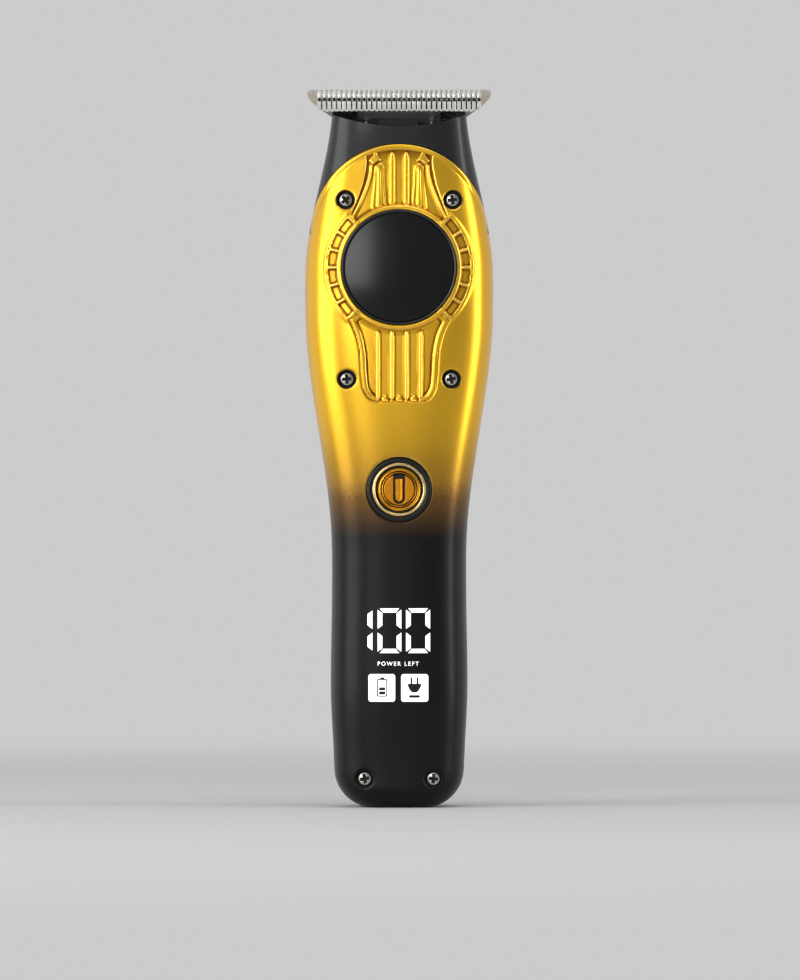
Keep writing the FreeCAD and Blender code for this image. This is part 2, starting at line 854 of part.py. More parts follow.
def motor_can():
    can = post(motor_r, 0.0, 0.0, motor_base, motor_top)
    can = can.cut(post(motor_r - can_wall, 0.0, 0.0, motor_base - 1.0, motor_top - can_top))
    can = can.cut(post(bush_r, 0.0, 0.0, motor_base, motor_top + 1.0))
    for side in (-1.0, 1.0):
        can = can.cut(post(bracket_screw_r + thread_gap, side * bracket_screw_x, 0.0,
                           motor_base, motor_top + 1.0))
    return can


def motor_magnets():
    """Two curved magnets inside the can."""
    outer = motor_r - can_wall - fit_gap
    ring = tube_post(outer, outer - magnet_sheet, 0.0, 0.0, motor_base + magnet_end, motor_top - magnet_end)
    half = math.radians(magnet_angle / 2.0)
    magnets = []
    for side in (1.0, -1.0):
        reach = far / math.cos(half)
        wedge = Part.makePolygon([Vec(0, 0, 0),
                                  Vec(side * far, -reach * math.sin(half), 0),
                                  Vec(side * far, reach * math.sin(half), 0),
                                  Vec(0, 0, 0)])
        solid = Part.Face(wedge).extrude(Vec(0, 0, body_length))
        magnets.append(ring.common(solid))
    return Part.makeCompound(magnets)


def motor_rotor():
    """Three-pole rotor on the shaft."""
    radius = motor_r - can_wall - fit_gap - magnet_sheet - rotor_gap
    middle = (motor_base + motor_top) / 2.0
    z0, z1 = middle - rotor_length / 2.0, middle + rotor_length / 2.0
    rotor = tube_post(radius, shaft_r, 0.0, 0.0, z0, z1)
    for i in range(rotor_poles):
        slot = box(radius * rotor_slot_share, far, -rotor_slot / 2.0, rotor_slot / 2.0, z0 - 1.0, z1 + 1.0)
        slot.rotate(Vec(0, 0, 0), Vec(0, 0, 1), 30.0 + 360.0 / rotor_poles * i)
        rotor = rotor.cut(slot)
    return rotor


def motor_bushes():
    top = tube_post(bush_r, shaft_r + running_gap, 0.0, 0.0,
                    motor_top - can_top - bush_proud, motor_top + bush_proud)
    low = tube_post(bush_r, shaft_r + running_gap, 0.0, 0.0,
                    motor_base - bush_proud, motor_base + end_cap_height)
    return Part.makeCompound([top, low])


def motor_end_cap():
    cap = tube_post(motor_r - can_wall, bush_r, 0.0, 0.0, motor_base, motor_base + end_cap_height)
    for side in (-1.0, 1.0):
        slot = box(side * terminal_x - terminal_width / 2.0, side * terminal_x + terminal_width / 2.0,
                   -terminal_sheet / 2.0, terminal_sheet / 2.0, motor_base - 1.0,
                   motor_base + end_cap_height + 1.0)
        cap = cap.cut(slot)
    return cap


def motor_terminals():
    tabs = []
    for side in (-1.0, 1.0):
        x = side * terminal_x
        tabs.append(box(x - terminal_width / 2.0, x + terminal_width / 2.0,
                        -terminal_sheet / 2.0, terminal_sheet / 2.0,
                        motor_base - terminal_reach, motor_base + end_cap_height))
    return Part.makeCompound(tabs)


def motor_holder():
    """Ring round the motor with two wings that rest on the casing's walls."""
    low = motor_base + holder_up
    high = low + holder_height
    ring = tube_post(motor_r + holder_wall, motor_r + fit_gap / 4.0, 0.0, 0.0, low, high)
    wings = [box(motor_r + root, far, 0.0, holder_wing, low, high),
             box(-far, -motor_r - root, 0.0, holder_wing, low, high)]
    back = box(-holder_wing / 2.0, holder_wing / 2.0, motor_r + root, far, low, high)
    return join([ring] + wings + [back]).common(lining_form)


def motor_bracket():
    """Steel plate on top of the motor, with ears under the screw posts."""
    low = motor_top
    sheet = box(-far, far, -bracket_plate_depth / 2.0, bracket_plate_depth / 2.0,
                low, low + bracket_plate)
    sheet = sheet.common(lining_form)
    sheet = sheet.cut(post(bush_r + fit_gap, 0.0, 0.0, low - 1.0, low + far))
    for side in (-1.0, 1.0):
        sheet = sheet.cut(post(bracket_screw_r + shank_gap, side * bracket_screw_x, 0.0,
                               low - 1.0, low + far))
    return sheet


def motor_screws():
    screws = []
    for side in (-1.0, 1.0):
        x = side * bracket_screw_x
        seat = motor_top + bracket_plate
        head = post(bracket_screw_head_r, x, 0.0, seat, seat + bracket_screw_head)
        shank = post(bracket_screw_r, x, 0.0, motor_top - bracket_screw_tip, seat + 0.1)
        slot = box(x - far, x + far, -bracket_slot_half, bracket_slot_half,
                   seat + bracket_screw_head - bracket_slot_depth, seat + far)
        screws.append(join([head, shank]).cut(slot))
    return Part.makeCompound(screws)


def bent_wire(radius):
    """The tension spring's path as a round bar: a cross bar with an arm at each end."""
    z_bar = body_length - spring_bar_down
    tilt = math.radians(blade_tilt)
    press = cutter_sheet + cutter_lift + fit_gap + spring_wire_r
    tip_z = body_length - blade_tip_sheet * math.sin(tilt)
    z_tip = tip_z - (blade_front - spring_tip_front) / math.tan(tilt) - press / math.sin(tilt)
    points = [Vec(-spring_half, -spring_tip_front, z_tip),
              Vec(-spring_half, -spring_bar_front, z_bar),
              Vec(spring_half, -spring_bar_front, z_bar),
              Vec(spring_half, -spring_tip_front, z_tip)]
    pieces = []
    for a, b in zip(points[:-1], points[1:]):
        pieces.append(Part.makeCylinder(radius, a.distanceToPoint(b), a, b - a))
    pieces += [Part.makeSphere(radius, p) for p in points]
    return join(pieces)


def tension_spring():
    """Wire spring whose two arms press the cutter against the fixed blade."""
    return bent_wire(spring_wire_r)


# Button
def button_bezel():
    face, back = -bezel_front, -bezel_back
    ring = rod(bezel_r, 0.0, button_up, face, back)
    flange_y = surface_front(bezel_flange_r, button_up, wall) + fit_gap
    flange = rod(bezel_flange_r, 0.0, button_up, flange_y, back + bezel_flange)
    ring = join([ring, flange]).cut(rod(bezel_inner_r, 0.0, button_up, -far, 1.0))
    return ring


def button_trim():
    """Bright ring pressed into the bezel."""
    ring = rod(bezel_inner_r, 0.0, button_up, -bezel_front - trim_proud, -bezel_back)
    return ring.cut(rod(trim_inner_r, 0.0, button_up, -far, 1.0))


def power_button():
    face = -button_front
    cap = rod(button_r, 0.0, button_up, face, face + button_sheet)
    cap = cap.cut(rod(button_dish_r, 0.0, button_up, face - 1.0, face + button_dish))
    stem = rod(stem_r, 0.0, button_up, face + button_sheet - 0.1, -board_front - switch_height)
    return join([cap, stem])


def tact_switch():
    """Switch under the button, with a well for the stem's travel."""
    top = -board_front - switch_height
    half = switch_half
    body = box(-half, half, top, -board_front, button_up - half, button_up + half)
    well = rod(stem_r + switch_well_gap, 0.0, button_up, top - 1.0,
               top + button_travel + switch_well_gap)
    return body.cut(well)


# Electronics
def circuit_board():
    return box(-board_half, board_half, -board_front, board_back, board_low_up, board_high_up)


def board_components():
    """Chips, coil and capacitors soldered to the front of the board."""
    face = -board_front
    parts = [box(x0, x1, face - height, face, low, high)
             for x0, x1, low, high, height in component_places]
    parts.append(rod(coil_r, coil_x, coil_up, face - coil_height, face))
    return Part.makeCompound(parts)


def led_display():
    return box(-display_half, display_half, -display_front, -board_front,
               display_low_up, display_high_up)


def light_guide():
    """Clear block that fills the space between the display and the cover."""
    block = box(-display_half, display_half, -far, -display_front,
                display_low_up, display_high_up)
    return block.common(lining_form)


def inner_chassis():
    back = board_back + chassis_sheet
    sheet = box(-chassis_half, chassis_half, board_back, back, chassis_low_up, chassis_high_up)
    battery_top = battery_low_up + battery_length
    levels = [(chassis_low_up, battery_low_up - tab_sheet),
              (battery_top + tab_sheet, battery_top + tab_sheet + cradle_wall),
              (chassis_high_up - cradle_wall, chassis_high_up)]
    walls = [box(-far, far, board_back, far, low, high) for low, high in levels]
    frame = join([sheet] + walls)
    notch = box(-pad_half / 2.0, pad_half / 2.0, 0.0, far, battery_top, body_length)
    return frame.cut(notch).common(lining_form)


def battery():
    cell = post(battery_r, 0.0, battery_back, battery_low_up, battery_low_up + battery_length)
    return cell.makeFillet(battery_fillet, [e for e in cell.Edges if e.BoundBox.ZLength < 0.01])


def battery_tabs():
    """Nickel strips welded to both ends of the cell."""
    high = battery_low_up + battery_length
    low_tab = box(-tab_half, tab_half, -tab_half, battery_back + tab_half,
                  battery_low_up - tab_sheet, battery_low_up)
    high_tab = box(-tab_half, tab_half, -tab_half, battery_back + tab_half,
                   high, high + tab_sheet)
    return Part.makeCompound([low_tab, high_tab])


def battery_pad():
    """Foam pad between the cell and the rear shell."""
    pad = box(-pad_half, pad_half, battery_back, far, pad_low_up, pad_high_up)
    cell = post(battery_r + fit_gap, 0.0, battery_back, 0.0, body_length)
    return pad.cut(cell).common(lining_form)


def charge_port():
    shell = port_opening(0.0, port_start, port_depth)
    hollow = port_opening(-port_wall, -1.0, port_depth - port_back_sheet)
    tongue = box(-port_half + tongue_side, port_half - tongue_side, port_back - tongue_half,
                 port_back + tongue_half, tongue_start, port_depth - tongue_root)
    return join([shell.cut(hollow), tongue])


def charge_board():
    front = port_back + port_height / 2.0
    return box(-port_board_half, port_board_half, front, front + board_sheet,
               floor_wall + port_board_lift, port_board_high_up)


def rounded_path(points, bend):
    """Straight runs joined by tangent arcs."""
    edges = []
    start = points[0]
    for before, here, after in zip(points[:-2], points[1:-1], points[2:]):
        back = (before - here).normalize()
        ahead = (after - here).normalize()
        half = back.getAngle(ahead) / 2.0
        cut = bend / math.tan(half)
        a, b = here + back * cut, here + ahead * cut
        middle = (back + ahead).normalize()
        centre = here + middle * (bend / math.sin(half))
        edges.append(Part.makeLine(start, a))
        edges.append(Part.Arc(a, centre - middle * bend, b).toShape())
        start = b
    edges.append(Part.makeLine(start, points[-1]))
    return Part.Wire(edges)


def lead(points, bend):
    path = rounded_path(points, bend)
    direction = points[1] - points[0]
    ring = Part.Wire([Part.Circle(points[0], direction, lead_r).toShape()])
    return path.makePipeShell([ring], True, False)


def motor_leads():
    """Two leads from the board to the motor's terminals."""
    leads = []
    for side in (-1.0, 1.0):
        top = motor_base - terminal_reach
        x = side * lead_spread
        end = side * terminal_x
        start_y = -board_front - lead_r
        mid = board_high_up + lead_rise
        leads.append(lead([Vec(x, start_y, board_high_up - lead_overlap),
                           Vec(x, start_y, mid),
                           Vec(end, 0.0, top - lead_straight),
                           Vec(end, 0.0, top)], lead_bend))
    return Part.makeCompound(leads)


def charge_leads():
    """Two leads from the charging board, under the battery, to the main board."""
    leads = []
    for side in (-1.0, 1.0):
        x = side * lead_spread
        level = chassis_low_up - lead_below_chassis
        front = -board_front - lead_r
        leads.append(lead([Vec(x, port_back + port_height / 2.0, level),
                           Vec(x, front, level),
                           Vec(x, front, board_low_up + lead_lap)], lead_bend))
    return Part.makeCompound(leads)


def build():
    return {
        "front_cover": front_cover(),
        "rear_shell": rear_shell(),
        "head_housing": head_housing(),
        "badge_ring": badge_ring(),
        "badge_disc": badge_disc(),
        "cover_screws": screw_set(cover_screw_places()),
        "base_screws": screw_set(base_screw_places()),
        "fixed_blade": fixed_blade(),
        "cutter_blade": cutter_blade(),
        "blade_bracket": blade_bracket(),
        "blade_screws": blade_screws(),
        "cutter_driver": cutter_driver(),
        "tension_spring": tension_spring(),
        "eccentric_cam": eccentric_cam(),
        "motor_shaft": motor_shaft(),
        "motor_rotor": motor_rotor(),
        "motor_can": motor_can(),
        "motor_magnets": motor_magnets(),
        "motor_bushes": motor_bushes(),
        "motor_end_cap": motor_end_cap(),
        "motor_terminals": motor_terminals(),
        "motor_holder": motor_holder(),
        "motor_bracket": motor_bracket(),
        "motor_screws": motor_screws(),
        "motor_leads": motor_leads(),
        "button_bezel": button_bezel(),
        "button_trim": button_trim(),
        "power_button": power_button(),
        "tact_switch": tact_switch(),
        "circuit_board": circuit_board(),
        "board_components": board_components(),
        "led_display": led_display(),
        "light_guide": light_guide(),
        "inner_chassis": inner_chassis(),
        "battery": battery(),
        "battery_tabs": battery_tabs(),
        "battery_pad": battery_pad(),
        "charge_port": charge_port(),
        "charge_board": charge_board(),
        "charge_leads": charge_leads(),
    }


os.makedirs("parts", exist_ok=True)
for node, shape in build().items():
    solids = len(shape.Solids)
    print(f"{node}: {solids} solid(s), valid {shape.isValid()}, volume {shape.Volume:.1f}")
    shape.exportStep(f"parts/{node}.step")
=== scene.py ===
import math

import bmesh
import bpy
import numpy as np
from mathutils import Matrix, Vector, geometry


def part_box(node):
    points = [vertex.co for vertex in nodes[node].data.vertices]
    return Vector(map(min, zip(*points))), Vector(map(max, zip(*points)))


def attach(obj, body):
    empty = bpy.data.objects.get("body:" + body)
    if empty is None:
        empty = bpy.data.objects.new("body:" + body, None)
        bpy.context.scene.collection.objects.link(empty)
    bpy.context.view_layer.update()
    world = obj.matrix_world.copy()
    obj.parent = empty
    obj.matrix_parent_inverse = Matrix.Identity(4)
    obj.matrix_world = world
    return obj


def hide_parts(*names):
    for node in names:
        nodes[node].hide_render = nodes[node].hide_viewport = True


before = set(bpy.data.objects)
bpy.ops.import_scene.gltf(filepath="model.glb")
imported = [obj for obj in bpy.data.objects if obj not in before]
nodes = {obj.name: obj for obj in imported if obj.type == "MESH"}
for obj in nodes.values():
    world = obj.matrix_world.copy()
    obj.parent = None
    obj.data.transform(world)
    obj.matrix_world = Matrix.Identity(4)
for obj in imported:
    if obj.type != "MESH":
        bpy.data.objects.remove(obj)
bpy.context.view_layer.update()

# Cordless hair clipper with a T-shaped blade, dressed over its CAD frame.
# Shapes are worked out in millimetres and turned to metres when a mesh is made.

mm = 0.001


def boxMm(node):
    low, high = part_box(node)
    return low / mm, high / mm


badgeLow, badgeHigh = boxMm("badge_ring")
badgeZ = (badgeLow.z + badgeHigh.z) / 2
buttonLow, buttonHigh = boxMm("power_button")
buttonZ = (buttonLow.z + buttonHigh.z) / 2
coverScrewLow, coverScrewHigh = boxMm("cover_screws")
baseScrewLow, baseScrewHigh = boxMm("base_screws")
print("frame loaded:", len(nodes), "nodes")


form = {
    "grip": 30.8, "head": 43.1, "neck": 30.3,
    "swell": (57.6, 113.9), "draw": (121.2, 162.7), "foot": (50.0, 28.0), "toe": (28.0, 6.0),
    "frontDepths": (13.9, 16.2, 11.45), "rearDepths": (14.2, 17.0, 9.0), "lean": 4.0,
    "footFlare": 0.3, "toeDraw": 0.85, "sideCorner": (9.0, 0.4), "depthCorner": (5.0, 0.2),
    "squareness": (2.9, 0.7, -0.4), "archWide": 20.3, "archTall": 20.5, "shoulder": 131.0,
}


def rise(start, end, value):
    t = np.clip((np.asarray(value, float) - start) / (end - start), 0.0, 1.0)
    return t * t * (3.0 - 2.0 * t)


def soften(value, low, high):
    # the same soft step for one plain number
    t = min(max((value - low) / (high - low), 0.0), 1.0)
    return t * t * (3 - 2 * t)


def cornerDraw(radius, sink, z):
    up = np.maximum(radius - sink - z, 0.0)
    return radius - np.sqrt(radius * radius - up * up)


def sectionSizes(z):
    f = form
    z = np.asarray(z, float)
    swell, draw = rise(*f["swell"], z), rise(*f["draw"], z)
    foot, toe = rise(*f["foot"], z), f["toeDraw"] * rise(*f["toe"], z)
    side = f["grip"] + (f["head"] - f["grip"]) * swell + (f["neck"] - f["head"]) * draw
    half = side / 2 + f["footFlare"] * foot - toe - cornerDraw(*f["sideCorner"], z)
    tuck = cornerDraw(*f["depthCorner"], z)
    low, wide, top = f["frontDepths"]
    front = low + (wide - low) * swell + (top - wide) * draw - toe - tuck
    low, wide, top = f["rearDepths"]
    rear = low + (wide - low) * swell + (top - wide) * draw - toe - tuck
    base, more, less = f["squareness"]
    return half, front, rear, -f["lean"] * draw, base + more * swell + less * draw


def frontY(x, z, inset=0.0):
    half, front, _, centre, power = sectionSizes(z)
    share = np.minimum(np.abs(x) / (half - inset), 1.0)
    return centre - (front - inset + centre) * (1.0 - share ** power) ** (1.0 / power)


def archX(z):
    up = np.clip((z - form["shoulder"]) / form["archTall"], 0.0, 1.0)
    return form["archWide"] * np.sqrt(1.0 - up * up)


def newPiece(name, points, faces, smoothAngle=35.0):
    mesh = bpy.data.meshes.new(name)
    mesh.from_pydata([(x * mm, y * mm, z * mm) for x, y, z in points], [], faces)
    mesh.validate()
    piece = bpy.data.objects.new(name, mesh)
    bpy.context.scene.collection.objects.link(piece)
    tidyNormals(mesh)
    smoothBy(mesh, smoothAngle)
    return piece


def tidyNormals(mesh):
    bm = bmesh.new()
    bm.from_mesh(mesh)
    bmesh.ops.recalc_face_normals(bm, faces=bm.faces)
    bm.to_mesh(mesh)
    bm.free()


def smoothBy(mesh, angle):
    mesh.polygons.foreach_set("use_smooth", [True] * len(mesh.polygons))
    mesh.set_sharp_from_angle(angle=math.radians(angle))


def merged(parts):
    points, faces = [], []
    for partPoints, partFaces in parts:
        start = len(points)
        points += list(partPoints)
        faces += [[i + start for i in face] for face in partFaces]
    return points, faces


def turned(profile, x0, z0, count=96):
    # a closed profile of (radius, y) turned round an axis along Y
    points, faces, rings = [], [], []
    for radius, y in profile:
        if radius < 1e-6:
            rings.append([len(points)])
            points.append((x0, y, z0))
            continue
        rings.append(list(range(len(points), len(points) + count)))
        for i in range(count):
            a = 2 * math.pi * i / count
            points.append((x0 + radius * math.cos(a), y, z0 + radius * math.sin(a)))
    for first, second in zip(rings, rings[1:] + rings[:1]):
        if len(first) == 1 and len(second) == 1:
            continue
        for i in range(count):
            j = (i + 1) % count
            if len(first) == 1:
                faces.append([first[0], second[i], second[j]])
            elif len(second) == 1:
                faces.append([first[i], second[0], first[j]])
            else:
                faces.append([first[i], second[i], second[j], first[j]])
    return points, faces


def roundedProfile(corners, steps=4):
    # corners are (radius, y, rounding); each is softened by an arc through its neighbours
    out = []
    count = len(corners)
    for i, (r, y, soft) in enumerate(corners):
        here = Vector((r, y))
        if soft <= 0:
            out.append((r, y))
            continue
        before = Vector(corners[i - 1][:2]) - here
        after = Vector(corners[(i + 1) % count][:2]) - here
        a = here + before.normalized() * min(soft, before.length * 0.45)
        b = here + after.normalized() * min(soft, after.length * 0.45)
        for k in range(steps + 1):
            t = k / steps
            p = a * (1 - t) ** 2 + here * 2 * t * (1 - t) + b * t * t
            out.append((p.x, p.y))
    return out


def polarCap(x0, z0, radii, count, heightAt, skirt):
    # a round top shaped by heightAt(dx, dz), closed by a skirt profile of (radius, y)
    points, faces = [(x0, heightAt(0.0, 0.0), z0)], []
    for r in radii:
        for i in range(count):
            a = 2 * math.pi * i / count
            dx, dz = r * math.cos(a), r * math.sin(a)
            points.append((x0 + dx, heightAt(dx, dz), z0 + dz))
    for r, y in skirt:
        for i in range(count):
            a = 2 * math.pi * i / count
            points.append((x0 + r * math.cos(a), y, z0 + r * math.sin(a)))
    rings = len(radii) + len(skirt)
    for i in range(count):
        faces.append([0, 1 + i, 1 + (i + 1) % count])
    for k in range(rings - 1):
        for i in range(count):
            j = (i + 1) % count
            a = 1 + k * count
            faces.append([a + i, a + count + i, a + count + j, a + j])
    last = 1 + (rings - 1) * count
    points.append((x0, skirt[-1][1], z0))
    for i in range(count):
        faces.append([last + i, len(points) - 1, last + (i + 1) % count])
    return points, faces


def cutAway(piece, cutters):
    points, faces = merged(cutters)
    tool = newPiece(piece.name + "Cutter", points, faces)
    cut = piece.modifiers.new("holes", "BOOLEAN")
    cut.object = tool
    cut.operation = "DIFFERENCE"
    cut.solver = "EXACT"
    graph = bpy.context.evaluated_depsgraph_get()
    result = bpy.data.meshes.new_from_object(piece.evaluated_get(graph))
    piece.modifiers.clear()
    piece.data = result
    bpy.data.objects.remove(tool)


def dress(piece, body, slot, material, *replaced):
    piece.data.materials.clear()
    piece.data.materials.append(material)
    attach(piece, body)
    if replaced:
        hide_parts(*replaced)


def curveThrough(points, steps=8):
    # a smooth line through the points, ends included
    p = [np.array(q, float) for q in points]
    p = [2 * p[0] - p[1]] + p + [2 * p[-1] - p[-2]]
    out = []
    for i in range(1, len(p) - 2):
        for k in range(steps):
            t = k / steps
            out.append(0.5 * (2 * p[i] + (p[i + 1] - p[i - 1]) * t
                              + (2 * p[i - 1] - 5 * p[i] + 4 * p[i + 1] - p[i + 2]) * t ** 2
                              + (3 * p[i] - p[i - 1] - 3 * p[i + 1] + p[i + 2]) * t ** 3))
    out.append(p[-2])
    return [tuple(q) for q in out]


def lineDistance(x, z, line):
    best = np.full(np.shape(x), 1e9)
    for (ax, az), (bx, bz) in zip(line, line[1:]):
        dx, dz = bx - ax, bz - az
        t = np.clip(((x - ax) * dx + (z - az) * dz) / (dx * dx + dz * dz + 1e-12), 0.0, 1.0)
        best = np.minimum(best, np.hypot(x - ax - t * dx, z - az - t * dz))
    return best


def insideLine(x, z, ring):
    inside = np.zeros(np.shape(x), bool)
    for (ax, az), (bx, bz) in zip(ring, ring[1:] + ring[:1]):
        if az == bz:
            continue
        crosses = (az > z) != (bz > z)
        inside ^= crosses & (x < (bx - ax) * (z - az) / (bz - az) + ax)
    return inside


def hump(distance, width):
    # 1 on the line, 0 at the width, round between
    t = np.clip(np.abs(distance) / width, 0.0, 1.0)
    return (1.0 - t * t) ** 1.5


def newGroup(name, inputs, outputs):
    tree = bpy.data.node_groups.new(name, "ShaderNodeTree")
    for label, kind, value in inputs:
        socket = tree.interface.new_socket(label, in_out="INPUT", socket_type=kind)
        socket.default_value = value
    for label, kind in outputs:
        tree.interface.new_socket(label, in_out="OUTPUT", socket_type=kind)
    return tree, tree.nodes.new("NodeGroupInput").outputs, tree.nodes.new("NodeGroupOutput").inputs


def addNode(tree, kind, links=None, **settings):
    node = tree.nodes.new(kind)
    for key, value in settings.items():
        if key[0] == "_":
            node.inputs[int(key[1:])].default_value = value
        else:
            setattr(node, key, value)
    for key, source in (links or {}).items():
        tree.links.new(source, node.inputs[key])
    return node


def math2(tree, operation, a, b, clamp=False):
    node = tree.nodes.new("ShaderNodeMath")
    node.operation = operation
    node.use_clamp = clamp
    for i, value in enumerate((a, b)):
        if isinstance(value, (int, float)):
            node.inputs[i].default_value = value
        else:
            tree.links.new(value, node.inputs[i])
    return node.outputs[0]


def mixColour(tree, factor, a, b):
    node = tree.nodes.new("ShaderNodeMix")
    node.data_type = "RGBA"
    for index, value in ((0, factor), (6, a), (7, b)):
        if isinstance(value, (int, float)):
            node.inputs[index].default_value = value
        elif isinstance(value, (tuple, list)):
            node.inputs[index].default_value = value
        else:
            tree.links.new(value, node.inputs[index])
    return node.outputs[2]


def spread(tree, value, low, high, toLow=0.0, toHigh=1.0, smooth=False):
    node = addNode(tree, "ShaderNodeMapRange", {0: value}, _1=low, _2=high, _3=toLow, _4=toHigh)
    if smooth:
        node.interpolation_type = "SMOOTHSTEP"
    return node.outputs[0]


def makeGrainGroup():
    # fine even grain: one value for tone and one for height
    tree, start, end = newGroup("fineGrain", [
        ("Vector", "NodeSocketVector", (0, 0, 0)), ("Scale", "NodeSocketFloat", 4000.0),
        ("Patch Scale", "NodeSocketFloat", 60.0), ("Contrast", "NodeSocketFloat", 0.5)],
        [("Tone", "NodeSocketFloat"), ("Height", "NodeSocketFloat")])
    fine = addNode(tree, "ShaderNodeTexNoise", {"Vector": start[0], "Scale": start[1]}, _3=2.0)
    patch = addNode(tree, "ShaderNodeTexNoise", {"Vector": start[0], "Scale": start[2]}, _3=3.0)
    both = math2(tree, "ADD", math2(tree, "MULTIPLY", fine.outputs[0], 0.6),
                 math2(tree, "MULTIPLY", patch.outputs[0], 0.4))
    centred = math2(tree, "SUBTRACT", both, 0.5)
    tone = math2(tree, "ADD", math2(tree, "MULTIPLY", centred, start[3]), 0.5, clamp=True)
    tree.links.new(tone, end[0])
    tree.links.new(fine.outputs[0], end[1])
    return tree


def makeBrushGroup():
    # long streaks along one direction, as ground or drawn metal has
    tree, start, end = newGroup("brushLines", [
        ("Vector", "NodeSocketVector", (0, 0, 0)), ("Stretch", "NodeSocketVector", (40, 900, 900)),
        ("Contrast", "NodeSocketFloat", 0.6)],
        [("Tone", "NodeSocketFloat"), ("Height", "NodeSocketFloat")])
    scaled = addNode(tree, "ShaderNodeVectorMath", {0: start[0], 1: start[1]}, operation="MULTIPLY")
    streak = addNode(tree, "ShaderNodeTexNoise", {"Vector": scaled.outputs[0]}, _2=1.0, _3=4.0)
    tone = math2(tree, "ADD", math2(tree, "MULTIPLY", math2(tree, "SUBTRACT", streak.outputs[0], 0.5),
                                    start[2]), 0.5, clamp=True)
    tree.links.new(tone, end[0])
    tree.links.new(streak.outputs[0], end[1])
    return tree


def makeSpeckGroup():
    # flakes: small cells of which a share catches the light
    tree, start, end = newGroup("metalFlake", [
        ("Vector", "NodeSocketVector", (0, 0, 0)), ("Scale", "NodeSocketFloat", 3000.0),
        ("Share", "NodeSocketFloat", 0.3)],
        [("Mask", "NodeSocketFloat"), ("Tone", "NodeSocketFloat")])
    cells = addNode(tree, "ShaderNodeTexVoronoi", {"Vector": start[0], "Scale": start[1]})
    pick = addNode(tree, "ShaderNodeSeparateColor", {0: cells.outputs["Color"]})
    mask = math2(tree, "LESS_THAN", pick.outputs[0], start[2])
    near = spread(tree, cells.outputs["Distance"], 0.15, 0.45, 1.0, 0.0)
    tree.links.new(math2(tree, "MULTIPLY", mask, near), end[0])
    tree.links.new(pick.outputs[1], end[1])
    return tree


def makeHandlingGroup():
    # faint handling marks: smudged patches
    tree, start, end = newGroup("handlingMarks", [
        ("Vector", "NodeSocketVector", (0, 0, 0)), ("Smudge Scale", "NodeSocketFloat", 45.0),
        ("Amount", "NodeSocketFloat", 0.5)],
        [("Smudge", "NodeSocketFloat")])
    smudge = addNode(tree, "ShaderNodeTexNoise", {"Vector": start[0], "Scale": start[1]}, _3=3.0)
    soft = spread(tree, smudge.outputs[0], 0.42, 0.68)
    tree.links.new(math2(tree, "MULTIPLY", soft, start[2]), end[0])
    return tree


def makeTexturedMouldGroup():
    # spark-eroded mould texture of satin plastic
    tree, start, end = newGroup("mouldTexture", [
        ("Vector", "NodeSocketVector", (0, 0, 0)), ("Scale", "NodeSocketFloat", 2600.0)],
        [("Height", "NodeSocketFloat"), ("Tone", "NodeSocketFloat")])
    cells = addNode(tree, "ShaderNodeTexVoronoi", {"Vector": start[0], "Scale": start[1]},
                    feature="SMOOTH_F1")
    noise = addNode(tree, "ShaderNodeTexNoise", {"Vector": start[0], "Scale": start[1]}, _3=2.0)
    height = math2(tree, "ADD", math2(tree, "MULTIPLY", cells.outputs["Distance"], 0.6),
                   math2(tree, "MULTIPLY", noise.outputs[0], 0.4))
    tree.links.new(height, end[0])
    tree.links.new(noise.outputs[0], end[1])
    return tree


groups = {
    "grain": makeGrainGroup(), "brush": makeBrushGroup(), "flake": makeSpeckGroup(),
    "handling": makeHandlingGroup(), "mould": makeTexturedMouldGroup(),
}


def placeGroup(tree, key, **values):
    node = tree.nodes.new("ShaderNodeGroup")
    node.node_tree = groups[key]
    for label, value in values.items():
        node.inputs[label.replace("_", " ")].default_value = value
    place = tree.nodes.new("ShaderNodeTexCoord")
    tree.links.new(place.outputs["Object"], node.inputs["Vector"])
    return node.outputs


def newMaterial(name, **sockets):
    material = bpy.data.materials.new(name)
    material.use_nodes = True
    tree = material.node_tree
    shader = tree.nodes["Principled BSDF"]
    for label, value in sockets.items():
        shader.inputs[label.replace("_", " ")].default_value = value
    return material, tree, shader.inputs


def linkBump(tree, sockets, height, distance, strength=1.0):
    bump = tree.nodes.new("ShaderNodeBump")
    bump.inputs["Strength"].default_value = strength
    bump.inputs["Distance"].default_value = distance
    tree.links.new(height, bump.inputs["Height"])
    tree.links.new(bump.outputs[0], sockets["Normal"])
    return bump


def linear(r, g, b):
    def one(c):
        c = c / 255
        return c / 12.92 if c <= 0.04045 else ((c + 0.055) / 1.055) ** 2.4
    return (one(r), one(g), one(b), 1.0)


# the brown mixed into the relief is painted shade; goldPale is the flakes' colour and also the painted
# highlight on proud edges
coverPaint = {
    "gold": linear(244, 192, 54), "goldDeep": linear(232, 176, 38), "goldPale": linear(252, 220, 112),
    "brown": linear(140, 100, 46), "black": linear(12, 12, 11), "blackPale": linear(38, 36, 32),
    "hollow": linear(92, 42, 4), "hollowShare": 0.85, "paintedHighlightShare": 0.75,
    "fade": (58.5, 92.0), "flakeScale": 4200.0, "grainScale": 5200.0,
    "goldRoughness": 0.29, "blackRoughness": 0.36,
}


